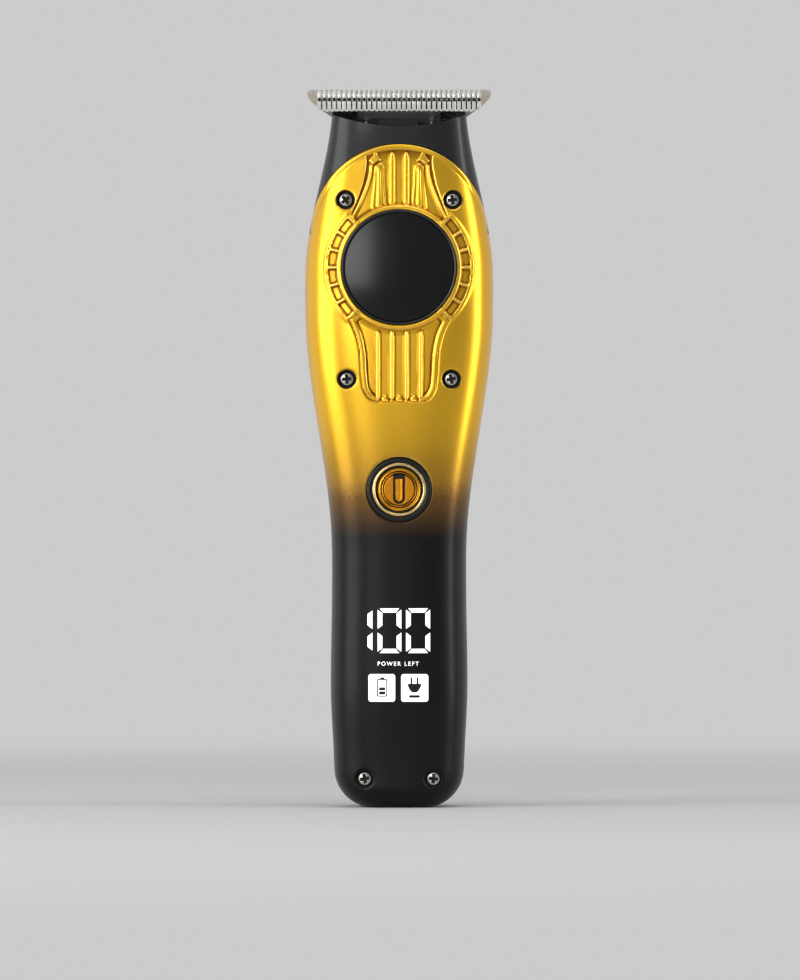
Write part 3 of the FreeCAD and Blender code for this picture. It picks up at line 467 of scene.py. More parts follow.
def makeCoverPaint():
    c = coverPaint
    material, tree, s = newMaterial("twoToneSatin", Coat_Weight=0.04, Coat_Roughness=0.2)
    s["Specular IOR Level"].default_value = 0.26
    place = tree.nodes.new("ShaderNodeTexCoord")
    split = addNode(tree, "ShaderNodeSeparateXYZ", {0: place.outputs["Object"]})
    grain = placeGroup(tree, "grain", Scale=c["grainScale"], Patch_Scale=26.0, Contrast=0.9)
    flake = placeGroup(tree, "flake", Scale=c["flakeScale"], Share=0.32)
    marks = placeGroup(tree, "handling", Smudge_Scale=34.0, Amount=0.5)
    low, high = (v * mm for v in c["fade"])
    fade = spread(tree, split.outputs[2], low, high, smooth=True)
    loose = math2(tree, "MULTIPLY", math2(tree, "SUBTRACT", flake[1], 0.5), 0.5)
    edge = math2(tree, "MULTIPLY", fade, math2(tree, "SUBTRACT", 1.0, fade))
    speckled = math2(tree, "ADD", fade, math2(tree, "MULTIPLY", math2(tree, "MULTIPLY", loose, edge), 0.8),
                     clamp=True)
    gold = mixColour(tree, grain[0], c["goldDeep"], c["gold"])
    gold = mixColour(tree, math2(tree, "MULTIPLY", flake[0], 0.45), gold, c["goldPale"])
    black = mixColour(tree, math2(tree, "MULTIPLY", flake[0], 0.6), c["black"], c["blackPale"])
    warm = mixColour(tree, spread(tree, speckled, 0.02, 0.5), black, c["brown"])
    hollow = addNode(tree, "ShaderNodeAttribute", attribute_name="hollow").outputs["Fac"]
    paintedHighlight = addNode(tree, "ShaderNodeAttribute", attribute_name="paintedHighlight").outputs["Fac"]
    # painted shade: brown mixed into the relief's hollows and along the top of the upper field
    gold = mixColour(tree, math2(tree, "MULTIPLY", hollow, c["hollowShare"]), gold, c["hollow"])
    # painted highlight: pale gold mixed onto the relief's proud edges and round the button hole
    gold = mixColour(tree, math2(tree, "MULTIPLY", paintedHighlight, c["paintedHighlightShare"]), gold, c["goldPale"])
    colour = mixColour(tree, spread(tree, speckled, 0.3, 1.0), warm, gold)
    tree.links.new(colour, s["Base Color"])
    tree.links.new(spread(tree, speckled, 0.0, 0.6, 0.3, 0.94), s["Metallic"])
    rough = spread(tree, speckled, 0.0, 1.0, c["blackRoughness"], c["goldRoughness"])
    rough = math2(tree, "ADD", rough, math2(tree, "MULTIPLY", marks[0], 0.08))
    rough = math2(tree, "ADD", rough, math2(tree, "MULTIPLY", hollow, 0.12))
    tree.links.new(rough, s["Roughness"])
    linkBump(tree, s, grain[1], 0.014 * mm, 0.5)
    return material


def makeMetal(name, colour, shade, roughness, stretch=(900, 60, 900), contrast=0.7, bump=0.006, grain=3000.0):
    material, tree, s = newMaterial(name, Metallic=1.0)
    brush = placeGroup(tree, "brush", Stretch=stretch, Contrast=contrast)
    fine = placeGroup(tree, "grain", Scale=grain, Patch_Scale=120.0, Contrast=0.8)
    marks = placeGroup(tree, "handling", Smudge_Scale=90.0, Amount=0.5)
    tone = math2(tree, "MULTIPLY", math2(tree, "ADD", brush[0], fine[0]), 0.5)
    tree.links.new(mixColour(tree, spread(tree, tone, 0.3, 0.7), shade, colour), s["Base Color"])
    rough = math2(tree, "ADD", spread(tree, brush[0], 0.2, 0.8, roughness[0], roughness[1]),
                  math2(tree, "MULTIPLY", marks[0], 0.1))
    tree.links.new(rough, s["Roughness"])
    linkBump(tree, s, math2(tree, "ADD", brush[1], math2(tree, "MULTIPLY", fine[1], 0.4)), bump * mm, 0.6)
    return material


def makePlastic(name, colour, shade, roughness, texture=2600.0, bump=0.012, coat=0.0, flake=0.0):
    material, tree, s = newMaterial(name, Coat_Weight=coat, Coat_Roughness=0.12)
    s["Specular IOR Level"].default_value = 0.34
    mould = placeGroup(tree, "mould", Scale=texture)
    fine = placeGroup(tree, "grain", Scale=texture * 0.7, Patch_Scale=70.0, Contrast=1.0)
    marks = placeGroup(tree, "handling", Smudge_Scale=60.0, Amount=0.6)
    base = mixColour(tree, fine[0], shade, colour)
    if flake:
        spots = placeGroup(tree, "flake", Scale=texture, Share=flake)
        pale = tuple(min(v * 2.2 + 0.01, 1.0) for v in colour[:3]) + (1.0,)
        base = mixColour(tree, math2(tree, "MULTIPLY", spots[0], 0.6), base, pale)
    tree.links.new(base, s["Base Color"])
    rough = math2(tree, "ADD", spread(tree, mould[1], 0.3, 0.7, roughness[0], roughness[1]),
                  math2(tree, "MULTIPLY", marks[0], -0.06))
    tree.links.new(rough, s["Roughness"])
    linkBump(tree, s, mould[0], bump * mm, 0.5)
    return material


def makeGloss(name, colour, shade):
    # polished lacquer: nearly even, with faint polishing haze
    material, tree, s = newMaterial(name, Coat_Weight=0.45, Coat_Roughness=0.16, Coat_IOR=1.45)
    s["Specular IOR Level"].default_value = 0.15
    fine = placeGroup(tree, "grain", Scale=900.0, Patch_Scale=45.0, Contrast=0.7)
    marks = placeGroup(tree, "handling", Smudge_Scale=70.0, Amount=0.7)
    tree.links.new(mixColour(tree, fine[0], shade, colour), s["Base Color"])
    tree.links.new(spread(tree, marks[0], 0.0, 1.0, 0.2, 0.3), s["Roughness"])
    linkBump(tree, s, fine[1], 0.002 * mm, 0.25)
    return material


def makeLit(name, colour, edge, strength):
    # milky window with light behind it
    material, tree, s = newMaterial(name, Emission_Strength=strength)
    fine = placeGroup(tree, "grain", Scale=2500.0, Patch_Scale=300.0, Contrast=0.5)
    tint = mixColour(tree, fine[0], edge, colour)
    tree.links.new(tint, s["Base Color"])
    tree.links.new(tint, s["Emission Color"])
    tree.links.new(spread(tree, fine[0], 0.3, 0.7, 0.25, 0.4), s["Roughness"])
    return material


materials = {
    "coverPaint": makeCoverPaint(),
    "housingPlastic": makePlastic("satinBlackHousing", linear(20, 20, 20), linear(12, 12, 13), (0.33, 0.45),
                                  coat=0.15, flake=0.25),
    "rearPlastic": makePlastic("satinBlackRear", linear(22, 22, 22), linear(14, 14, 15), (0.42, 0.55),
                               texture=1800.0, bump=0.03),
    "glossBlack": makeGloss("glossBlackBadge", linear(9, 9, 10), linear(5, 5, 6)),
    "ringBlack": makePlastic("blackRing", linear(18, 18, 18), linear(12, 12, 12), (0.3, 0.4), coat=0.3),
    "wellBlack": makePlastic("blackWell", linear(12, 12, 12), linear(7, 7, 7), (0.5, 0.65)),
    "bezelBlack": makePlastic("blackBezel", linear(8, 8, 8), linear(4, 4, 4), (0.3, 0.42)),
    "goldMetal": makeMetal("spunGold", linear(222, 164, 50), linear(190, 128, 26), (0.22, 0.34),
                           stretch=(500, 60, 500)),
    "trimMetal": makeMetal("creamGold", linear(240, 216, 160), linear(214, 180, 110), (0.18, 0.3),
                           stretch=(400, 60, 400)),
    "bladeSteel": makeMetal("groundBladeSteel", linear(246, 245, 242), linear(214, 212, 208), (0.34, 0.5),
                            stretch=(60, 1800, 1800), contrast=0.9),
    "screwSteel": makeMetal("screwSteel", linear(216, 214, 208), linear(160, 157, 150), (0.2, 0.34)),
    "springSteel": makeMetal("springSteel", linear(150, 152, 158), linear(108, 110, 118), (0.22, 0.36)),
    "motorSteel": makeMetal("platedCan", linear(186, 186, 182), linear(140, 140, 138), (0.25, 0.4),
                            stretch=(900, 900, 40)),
    "rotorIron": makeMetal("stackedIron", linear(92, 88, 84), linear(58, 54, 50), (0.35, 0.55),
                           stretch=(20, 20, 4500), contrast=1.4, bump=0.03),
    "tipSteel": makeMetal("tipSteel", linear(242, 242, 240), linear(208, 208, 206), (0.2, 0.32),
                          stretch=(60, 1800, 1800), contrast=0.8),
    "shadowSteel": makePlastic("crossShadow", linear(16, 15, 14), linear(8, 8, 7), (0.5, 0.6)),
    "buttonOrange": makeMetal("orangeGold", linear(214, 146, 38), linear(190, 118, 22), (0.26, 0.38),
                              stretch=(60, 500, 60)),
    "bronze": makeMetal("sinteredBronze", linear(168, 118, 66), linear(122, 80, 40), (0.4, 0.6),
                        stretch=(1500, 1500, 1500), bump=0.02),
    "nickel": makeMetal("nickelPlate", linear(206, 200, 188), linear(164, 158, 146), (0.18, 0.32)),
    "magnet": makePlastic("pressedFerrite", linear(58, 57, 60), linear(38, 37, 40), (0.55, 0.75), bump=0.03),
    "innerBlack": makePlastic("mouldedBlack", linear(28, 28, 29), linear(18, 18, 19), (0.4, 0.55)),
    "component": makePlastic("componentBlack", linear(30, 30, 33), linear(18, 18, 20), (0.35, 0.6),
                             texture=4200.0),
    "displayBlack": makePlastic("displayFace", linear(16, 16, 18), linear(10, 10, 11), (0.2, 0.3), coat=0.6),
    "chassis": makePlastic("greyChassis", linear(96, 98, 100), linear(78, 80, 82), (0.45, 0.6)),
    "foam": makePlastic("softFoam", linear(64, 64, 66), linear(38, 38, 40), (0.85, 0.95),
                        texture=1400.0, bump=0.12),
    "litWhite": makeLit("litWindow", (1.0, 1.0, 1.0, 1.0), (0.93, 0.95, 0.97, 1.0), 0.85),
    "signBlack": makePlastic("signBlack", linear(14, 14, 14), linear(9, 9, 9), (0.4, 0.55)),
}
print("materials made:", len(materials))


def makeBoardGreen():
    material, tree, s = newMaterial("boardGreen", Coat_Weight=0.5, Coat_Roughness=0.15)
    place = tree.nodes.new("ShaderNodeTexCoord")
    tracks = addNode(tree, "ShaderNodeTexBrick", {"Vector": place.outputs["Object"]},
                     _4=900.0, _5=0.06, _6=0.2, offset=0.35)
    fine = placeGroup(tree, "grain", Scale=2000.0, Patch_Scale=200.0, Contrast=0.9)
    solder = mixColour(tree, fine[0], linear(18, 74, 38), linear(30, 104, 56))
    line = spread(tree, tracks.outputs["Fac"], 0.2, 0.8)
    tracked = mixColour(tree, math2(tree, "MULTIPLY", line, 0.5), solder, linear(76, 150, 84))
    tree.links.new(tracked, s["Base Color"])
    tree.links.new(spread(tree, fine[0], 0.2, 0.8, 0.3, 0.45), s["Roughness"])
    linkBump(tree, s, tracks.outputs["Fac"], 0.02 * mm, 0.4)
    return material


def makeWrap(name, colour, shade, band):
    # shrink film with a printed band round it
    material, tree, s = newMaterial(name, Coat_Weight=0.6, Coat_Roughness=0.1)
    place = tree.nodes.new("ShaderNodeTexCoord")
    split = addNode(tree, "ShaderNodeSeparateXYZ", {0: place.outputs["Object"]})
    fine = placeGroup(tree, "grain", Scale=700.0, Patch_Scale=90.0, Contrast=1.0)
    ring = spread(tree, math2(tree, "SINE", math2(tree, "MULTIPLY", split.outputs[2], 260.0), 0.0), 0.86, 0.9)
    base = mixColour(tree, fine[0], shade, colour)
    tree.links.new(mixColour(tree, ring, base, band), s["Base Color"])
    tree.links.new(spread(tree, fine[0], 0.3, 0.7, 0.25, 0.42), s["Roughness"])
    linkBump(tree, s, fine[1], 0.03 * mm, 0.5)
    return material


def makeInsulation():
    material, tree, s = newMaterial("leadInsulation")
    fine = placeGroup(tree, "grain", Scale=1500.0, Patch_Scale=160.0, Contrast=0.9)
    tree.links.new(mixColour(tree, fine[0], linear(120, 16, 14), linear(176, 30, 24)), s["Base Color"])
    tree.links.new(spread(tree, fine[0], 0.3, 0.7, 0.4, 0.55), s["Roughness"])
    linkBump(tree, s, fine[1], 0.02 * mm, 0.4)
    return material


def makeClear():
    material, tree, s = newMaterial("clearGuide", Transmission_Weight=0.85, IOR=1.49)
    fine = placeGroup(tree, "grain", Scale=1200.0, Patch_Scale=160.0, Contrast=0.6)
    tree.links.new(mixColour(tree, fine[0], linear(214, 222, 226), linear(240, 244, 246)), s["Base Color"])
    tree.links.new(spread(tree, fine[0], 0.3, 0.7, 0.12, 0.24), s["Roughness"])
    return material


materials["board"] = makeBoardGreen()
materials["wrap"] = makeWrap("cellWrap", linear(40, 96, 168), linear(26, 70, 136), linear(226, 228, 230))
materials["insulation"] = makeInsulation()
materials["clear"] = makeClear()

nodeFinish = {
    "front_cover": "coverPaint", "rear_shell": "rearPlastic", "head_housing": "housingPlastic",
    "badge_ring": "ringBlack", "badge_disc": "glossBlack", "cover_screws": "screwSteel",
    "base_screws": "screwSteel", "fixed_blade": "bladeSteel", "cutter_blade": "bladeSteel",
    "blade_bracket": "motorSteel", "blade_screws": "screwSteel", "cutter_driver": "innerBlack",
    "tension_spring": "springSteel", "eccentric_cam": "nickel", "motor_shaft": "springSteel",
    "motor_rotor": "rotorIron", "motor_can": "motorSteel", "motor_magnets": "magnet",
    "motor_bushes": "bronze", "motor_end_cap": "innerBlack", "motor_terminals": "nickel",
    "motor_holder": "chassis", "motor_bracket": "motorSteel", "motor_screws": "screwSteel",
    "motor_leads": "insulation", "button_bezel": "bezelBlack", "button_trim": "trimMetal",
    "power_button": "goldMetal", "tact_switch": "component", "circuit_board": "board",
    "board_components": "component", "led_display": "displayBlack", "light_guide": "clear",
    "inner_chassis": "chassis", "battery": "wrap", "battery_tabs": "nickel", "battery_pad": "foam",
    "charge_port": "nickel", "charge_board": "board", "charge_leads": "insulation",
}
for node, finish in nodeFinish.items():
    mesh = nodes[node].data
    mesh.materials.clear()
    mesh.materials.append(materials[finish])
missing = sorted(set(nodes) - set(nodeFinish))
print("nodes dressed:", len(nodeFinish), "left:", missing)


cover = {
    "wall": 1.5, "floor": 2.0, "seam": 0.03, "proud": 0.02,
    "flat": 0.82, "flatColumns": 160, "rollColumns": 14, "baseRows": 4,
    "rows": [(0.0, 4.0, 12, 1.5), (4.0, 9.0, 22, 1.0), (9.0, 62.0, 32, 1.0), (62.0, 83.0, 70, 1.0),
             (83.0, 91.0, 8, 1.0), (91.0, 127.0, 172, 1.0)],
    "crownStart": 127.0, "crownRows": 116, "archFoot": 131.0,
    "creaseIn": 1.9, "creaseDeep": 0.14, "rimWide": 0.55, "rimProud": 0.14,
    "floorDeep": 0.7, "ringInner": 13.35, "ridge": (13.4, 14.15), "ridgeProud": 0.5,
    "pocketOuter": 16.35, "collarProud": 0.3, "pocketDeep": 0.42, "pocketStep": 15.0, "pocketEnd": 45.0,
    "dividerHalf": 0.3, "collarEdge": (16.75, 17.5),
    "upperHalf": [(130.0, 13.9), (132.0, 13.0), (135.6, 10.9), (139.5, 9.35), (142.2, 8.45), (145.4, 7.8),
                  (147.0, 7.6), (148.3, 7.6), (149.6, 8.1), (152.0, 8.4)],
    "upperRim": 1.25,
    "upperRail": [(10.6, 134.7), (9.4, 136.9), (8.3, 139.5), (7.25, 142.2), (6.65, 144.6), (6.5, 146.3)],
    "upperRibs": (1.62, 0.86, 137.0, 149.7), "columns": (4.55, 1.35, 146.0),
    "caps": [(5.35, 150.0), (7.25, 147.5), (6.0, 146.4), (4.85, 147.35), (3.9, 147.5)],
    "lowerOutline": [(12.4, 111.6), (11.3, 110.3), (9.95, 107.1), (9.2, 103.2), (8.9, 98.3), (8.55, 95.5),
                     (7.5, 93.5), (6.3, 92.6), (5.0, 92.3)],
    "lowerRibs": ((1.68, 4.88), 0.7, 93.0, 108.7),
    "railWide": 1.45, "grooveDeep": 0.34, "ribTall": 0.66, "ribCrest": 0.06,
    "columnTall": 0.46, "railTall": 0.62, "capTall": 0.62, "scoops": (0.0, 3.28), "scoopSize": (1.0, 1.5),
    "scoopTall": 0.42, "scoopZ": 92.6, "chamferDeep": 0.3, "wellChamfer": 0.28,
    "collarGroove": (16.6, 0.2, 0.26),
    "pocketInner": (14.2, 14.5), "pocketTilt": (16.3, 2.0, 0.22), "collarFade": 3.5, "ridgeEnd": 15.6,
    "rollOff": (0.3, 0.35), "rimGroove": (1.25, 0.25, 0.1), "creaseSoft": 0.3, "creaseRise": (2.0, 14.0),
    "wellEdge": 0.32, "buttonEdge": 0.3, "maskReach": 0.5, "innerStep": 4, "sharpAngle": 80.0,
}
screwSpots = {
    "headRadius": 1.55, "wellRadius": 2.15,
    "upper": [], "lower": [], "base": [],
}
headRadius = screwSpots["headRadius"]
for side in (-1, 1):
    screwSpots["upper"].append((side * (coverScrewHigh.x - headRadius), coverScrewHigh.z - headRadius))
    screwSpots["lower"].append((side * (coverScrewHigh.x - headRadius - 0.3), coverScrewLow.z + headRadius))
    screwSpots["base"].append((side * (baseScrewHigh.x - headRadius), (baseScrewLow.z + baseScrewHigh.z) / 2))
allSpots = screwSpots["upper"] + screwSpots["lower"] + screwSpots["base"]
buttonHole = 7.45


def pointedBar(along, low, high, width, taper=1.6):
    # half width of a bar that tapers to a point at its upper end and softly at its lower end
    top = np.clip((high - along) / taper, 0.0, 1.0)
    foot = np.clip((along - low) / (taper * 0.5), 0.0, 1.0)
    return width * np.sqrt(np.clip(top * (2.0 - top), 0.0, 1.0)) * np.sqrt(foot)


def barRaise(offset, halfWidth):
    t = np.clip(np.abs(offset) / np.maximum(halfWidth, 0.02), 0.0, 1.0)
    return np.where(halfWidth > 0.03, (1.0 - t ** 2.4) * np.minimum(halfWidth / 0.4, 1.0), 0.0)


def upperField(x, z, r, angle, deep):
    c = cover
    side = np.abs(x)
    table = c["upperHalf"]
    edge = sum(np.interp(z + s, [p[0] for p in table], [p[1] for p in table]) for s in (-0.5, 0.0, 0.5)) / 3
    archZ = form["shoulder"] + form["archTall"] * np.sqrt(np.clip(1 - (side / form["archWide"]) ** 2, 0, 1))
    inside = np.minimum(edge - side, archZ - c["upperRim"] - z)
    inside = np.minimum(inside, (angle - 46.8) * math.radians(1) * r)
    field = rise(0.0, 0.38, inside) * rise(14.05, 15.0, r)
    floor = c["floorDeep"] * field
    rail = hump(lineDistance(side, z, curveThrough(c["upperRail"])), 0.62) * c["railTall"]
    ribX, ribWide, ribLow, ribHigh = c["upperRibs"]
    rib = c["ribTall"] * barRaise(side - ribX, pointedBar(z, ribLow - 1.5, ribHigh, ribWide, 2.2))
    colX, colWide, colTop = c["columns"]
    wide = colWide + 0.75 * rise(144.0, 136.0, z)
    offset = side - colX
    topRound = np.where(z > colTop, np.hypot(offset, z - colTop), np.abs(offset))
    column = c["columnTall"] * rise(1.0, 0.62, topRound / wide)
    column -= 0.2 * hump(np.abs(offset) - 0.62 * wide / colWide, 0.5) * rise(colTop + 0.3, colTop - 1.0, z)
    column += 0.14 * hump(offset, 0.5) * rise(colTop + 0.6, colTop - 0.6, z)
    capNear = lineDistance(side, z, c["caps"] + c["caps"][:1])
    cap = c["capTall"] * rise(0.0, 0.34, np.where(insideLine(side, z, c["caps"]), capNear, -capNear))
    column = column * rise(0.1, 0.5, np.where(insideLine(side, z, c["caps"]), 0.0, capNear))
    bumps = np.maximum.reduce([rail, rib, column, cap])
    return deep + floor - bumps * field


def lowerField(x, z, r, angle, deep):
    c = cover
    side = np.abs(x)
    line = curveThrough(c["lowerOutline"])
    ring = line + [(-px, pz) for px, pz in reversed(line)]
    near = np.minimum(lineDistance(side, z, line), np.where(side < 5.2, np.abs(z - 92.3), 1e9))
    inside = np.where(insideLine(x, z, ring), near, -near)
    inside = np.minimum(inside, (-angle - 46.0) * math.radians(1) * r)
    field = rise(0.0, 0.3, inside) * rise(14.05, 15.45, r)
    railWide = 0.35 + (c["railWide"] - 0.35) * rise(4.7, 6.0, side)
    floor = c["floorDeep"] * rise(railWide - 0.1, railWide + 0.28, inside)
    groove = c["grooveDeep"] * hump(inside - 0.16, 0.2)
    innerGroove = 0.22 * hump(inside - railWide - 0.3, 0.22) * rise(4.7, 6.0, side)
    crown = 0.14 * (np.clip((inside - 0.75) / 0.6, -1, 1) ** 2) * (inside > 0.1) * (inside < railWide)
    ribs, ribWide, ribLow, ribHigh = c["lowerRibs"]
    raised = np.zeros(np.shape(x))
    for ribX in ribs:
        wide = pointedBar(z, ribLow - 0.3, ribHigh, ribWide, 1.7)
        crest = c["ribCrest"] * hump(side - ribX, 0.2) * (wide > 0.3)
        raised = np.maximum(raised, c["ribTall"] * barRaise(side - ribX, wide) + crest)
    scoopWide, scoopLong = c["scoopSize"]
    for scoopX in c["scoops"]:
        scoop = 1.0 - np.hypot((side - scoopX) / scoopWide, (z - c["scoopZ"]) / scoopLong)
        raised = np.maximum(raised, c["scoopTall"] * np.clip(scoop * 3.0, 0.0, 1.0))
    depth = floor + groove + innerGroove + crown - np.minimum(raised, floor + 0.05)
    return deep + depth * field


def coverDepth(x, z):
    # how far the cover's face sinks below the plain form; negative stands proud
    c = cover
    r = np.hypot(x, z - badgeZ)
    angle = np.degrees(np.arctan2(z - badgeZ, np.abs(x)))
    half = sectionSizes(z)[0]
    crease, soft = half - c["creaseIn"], c["creaseSoft"]
    deep = c["creaseDeep"] * rise(crease - soft, crease + soft, np.abs(x))
    deep = deep * rise(*c["creaseRise"], z) - c["proud"]
    upSide, beside = angle > 0, np.abs(angle) < c["pocketEnd"] + 1.6
    collar = rise(c["collarEdge"][1], c["collarEdge"][0], r)
    collar = collar * np.clip((c["pocketEnd"] + c["collarFade"] - np.abs(angle)) / 3, 0, 1)
    deep = deep - c["collarProud"] * collar
    grooveR, grooveWide, grooveDeep = c["collarGroove"]
    deep = deep + grooveDeep * hump(r - grooveR, grooveWide) * beside
    within = rise(*c["pocketInner"], r) * rise(c["pocketOuter"], c["pocketOuter"] - 0.3, r)
    turn = np.abs((angle + c["pocketStep"] / 2) % c["pocketStep"] - c["pocketStep"] / 2) * math.radians(1) * r
    between = rise(c["dividerHalf"] - 0.08, c["dividerHalf"] + 0.2, turn) * (np.abs(angle) < c["pocketEnd"])
    pocket = within * between
    tiltR, tiltWide, tiltDeep = c["pocketTilt"]
    tilt = tiltDeep * np.clip((tiltR - r) / tiltWide, 0.0, 1.0)
    deep = deep + pocket * (c["pocketDeep"] + tilt + c["collarProud"])
    deep = np.where(upSide, upperField(x, z, r, angle, deep), lowerField(x, z, r, angle, deep))
    ridgeIn, ridgeOut = c["ridge"]
    ridge = rise(ridgeOut + 0.3, ridgeOut - 0.1, r) * rise(ridgeIn - 0.3, ridgeIn + 0.25, r)
    proud = c["ridgeProud"] * rise(ridgeOut + 0.45, ridgeOut - 0.15, r)
    deep = np.where(r < c["ridgeEnd"], deep - proud, deep)
    deep = deep + 0.12 * (1.0 - ridge) * (r < ridgeIn + 0.3)
    ovalEdge = (1.0 - np.hypot(x / form["archWide"], (z - form["shoulder"]) / form["archTall"])) * 20.4
    onArch = rise(form["shoulder"] + 1.0, form["shoulder"] + 5.0, z)
    rim = hump(ovalEdge - 0.5, c["rimWide"]) * c["rimProud"]
    rollDeep, rollWide = c["rollOff"]
    rollOff = rollDeep * np.clip(1.0 - ovalEdge / rollWide, 0.0, 1.0) ** 2
    lineAt, lineWide, lineDeep = c["rimGroove"]
    deep = deep + (rollOff - rim + lineDeep * hump(ovalEdge - lineAt, lineWide)) * onArch
    for sx, sz in allSpots:
        away = np.hypot(x - sx, z - sz) - screwSpots["wellRadius"]
        deep = deep + c["wellChamfer"] * np.clip(1.0 - away / c["wellEdge"], 0.0, 1.0) ** 2
    away = np.hypot(x, z - buttonZ)
    return deep + c["chamferDeep"] * np.clip(1.0 - (away - buttonHole) / c["buttonEdge"], 0.0, 1.0) ** 2


def coverGrid():
    c = cover
    flat = np.linspace(0.0, c["flat"], c["flatColumns"] // 2 + 1)
    start = math.asin(c["flat"] ** 1.65)
    turn = np.linspace(start, math.radians(86.3), c["rollColumns"])[1:]
    outer = np.concatenate([flat[1:], np.sin(turn) ** (1 / 1.65), [1.0]])
    share = np.concatenate([-outer[::-1], [0.0], outer])
    heights = [0.0]
    for low, high, count, bend in c["rows"]:
        heights += [low + (high - low) * ((i + 1) / count) ** bend for i in range(count)]
    scan = np.linspace(form["shoulder"] + form["archTall"], c["archFoot"], 2400)
    ratio = archX(scan) / sectionSizes(scan)[0]
    crown = np.array([scan[np.argmax(ratio >= min(abs(s), ratio.max()) * 0.9995)] for s in share])
    crown = np.maximum(crown, c["archFoot"])
    rows = [np.full(len(share), h) for h in heights]
    for i in range(c["crownRows"]):
        rows.append(c["crownStart"] + (crown - c["crownStart"]) * (i + 1) / c["crownRows"])
    return share, np.array(rows)


def makeCoverMesh():
    c = cover
    share, z = coverGrid()
    half = sectionSizes(z)[0]
    x = half * share[None, :]
    y = frontY(x, z) + coverDepth(x, z)
    y[:, 0] = y[:, -1] = -c["seam"]
    y = np.minimum(y, -c["seam"])
    base = c["baseRows"]
    outerX = np.vstack([np.repeat(x[:1], base, 0), x])
    outerZ = np.vstack([np.repeat(z[:1], base, 0), z])
    share0 = [i / base for i in range(base)]
    outerY = np.vstack([[-c["seam"] + (y[0] + c["seam"]) * w for w in share0], y])
    outerY[:, 0] = outerY[:, -1] = -c["seam"]
    step = c["innerStep"]
    zi = z[::step, ::step]
    zi = zi + c["floor"] * np.clip(1.0 - zi / 14.0, 0.0, 1.0)
    halfIn = sectionSizes(zi)[0] - c["wall"]
    xi = halfIn * share[None, ::step]
    yi = np.minimum(frontY(xi, zi, c["wall"]), -c["seam"])
    yi[:, 0] = yi[:, -1] = -c["seam"]
    innerX = np.vstack([xi[:1], xi])
    innerZ = np.vstack([zi[:1], zi])
    innerY = np.vstack([np.full_like(yi[:1], -c["seam"]), yi])
    return gridShell((outerX, outerY, outerZ), (innerX, innerY, innerZ), step)


def gridShell(outer, inner, step):
    rows, columns = outer[0].shape
    inRows, inColumns = inner[0].shape
    points = list(zip(*(a.ravel().tolist() for a in outer)))
    start = len(points)
    points += list(zip(*(a.ravel().tolist() for a in inner)))
    at = lambda j, i: j * columns + i
    inAt = lambda j, i: start + j * inColumns + i
    faces = [(at(j, i), at(j, i + 1), at(j + 1, i + 1), at(j + 1, i))
             for j in range(rows - 1) for i in range(columns - 1)]
    faces += [(inAt(j, i), inAt(j + 1, i), inAt(j + 1, i + 1), inAt(j, i + 1))
              for j in range(inRows - 1) for i in range(inColumns - 1)]
    for i in range(inColumns - 1):
        fan = range(i * step, (i + 1) * step + 1)
        faces.append([at(0, k) for k in reversed(fan)] + [inAt(0, i), inAt(0, i + 1)])
        faces.append([at(rows - 1, k) for k in fan] + [inAt(inRows - 1, i + 1), inAt(inRows - 1, i)])
    for j in range(inRows - 1):
        fan = range(j * step, (j + 1) * step + 1)
        faces.append([at(k, 0) for k in fan] + [inAt(j + 1, 0), inAt(j, 0)])
        end = [inAt(j, inColumns - 1), inAt(j + 1, inColumns - 1)]
        faces.append([at(k, columns - 1) for k in reversed(fan)] + end)
    return points, faces


def maskCover(piece):
    # marks the relief's hollows for painted shade and its proud edges for painted highlight; the top of the
    # upper field gets painted shadow, the button hole's rim painted highlight
    mesh = piece.data
    co = np.zeros(len(mesh.vertices) * 3)
    mesh.vertices.foreach_get("co", co)
    co = co.reshape(-1, 3) / mm
    x, z = co[:, 0], co[:, 2]
    here = coverDepth(x, z)
    around = np.zeros(len(x))
    reach = cover["maskReach"]
    for turn in range(8):
        a = math.pi * turn / 4
        around += coverDepth(x + reach * math.cos(a), z + reach * math.sin(a)) / 8
    lower = here - around
    r = np.hypot(x, z - badgeZ)
    shown = (z > 86) & (z < 150.6) & (co[:, 1] < -7)
    away = np.hypot(x, z - buttonZ) - buttonHole
    # painted highlight on the chamfer round the button hole
    ring = rise(cover["buttonEdge"] + 0.1, cover["buttonEdge"] - 0.1, away) * (away > -0.05)
    # painted shadow along the top of the upper relief field
    top = rise(145.5, 150.0, z) * rise(0.3, 0.55, here) * (r > 15.5)
    masks = {"hollow": np.maximum(rise(0.02, 0.26, lower) * shown, top * 0.9),
             "paintedHighlight": np.maximum(rise(-0.05, -0.3, lower) * shown, ring)}
    for name, values in masks.items():
        attribute = mesh.attributes.new(name, "FLOAT", "POINT")
        attribute.data.foreach_set("value", values.astype(np.float32))


frontCover = newPiece("frontCover", *makeCoverMesh(), 30.0)
print("cover mesh:", len(frontCover.data.polygons), "faces")


def holeThrough(radius, x0, z0, back, count):
    front = -30
    return turned([(0, front), (radius, front), (radius, back), (0, back)], x0, z0, count)


cutters = [holeThrough(cover["ringInner"], 0, badgeZ, -8, 160), holeThrough(buttonHole, 0, buttonZ, -8, 128)]
cutters += [holeThrough(screwSpots["wellRadius"], sx, sz, -6, 64) for sx, sz in allSpots]
cutAway(frontCover, cutters)
smoothBy(frontCover.data, cover["sharpAngle"])
maskCover(frontCover)
print("cover cut:", len(frontCover.data.polygons), "faces")
dress(frontCover, "casing", "two_tone_shell", materials["coverPaint"], "front_cover")


badge = {"discRadius": 12.32, "ringOuter": 13.3, "domeDrop": 0.85}


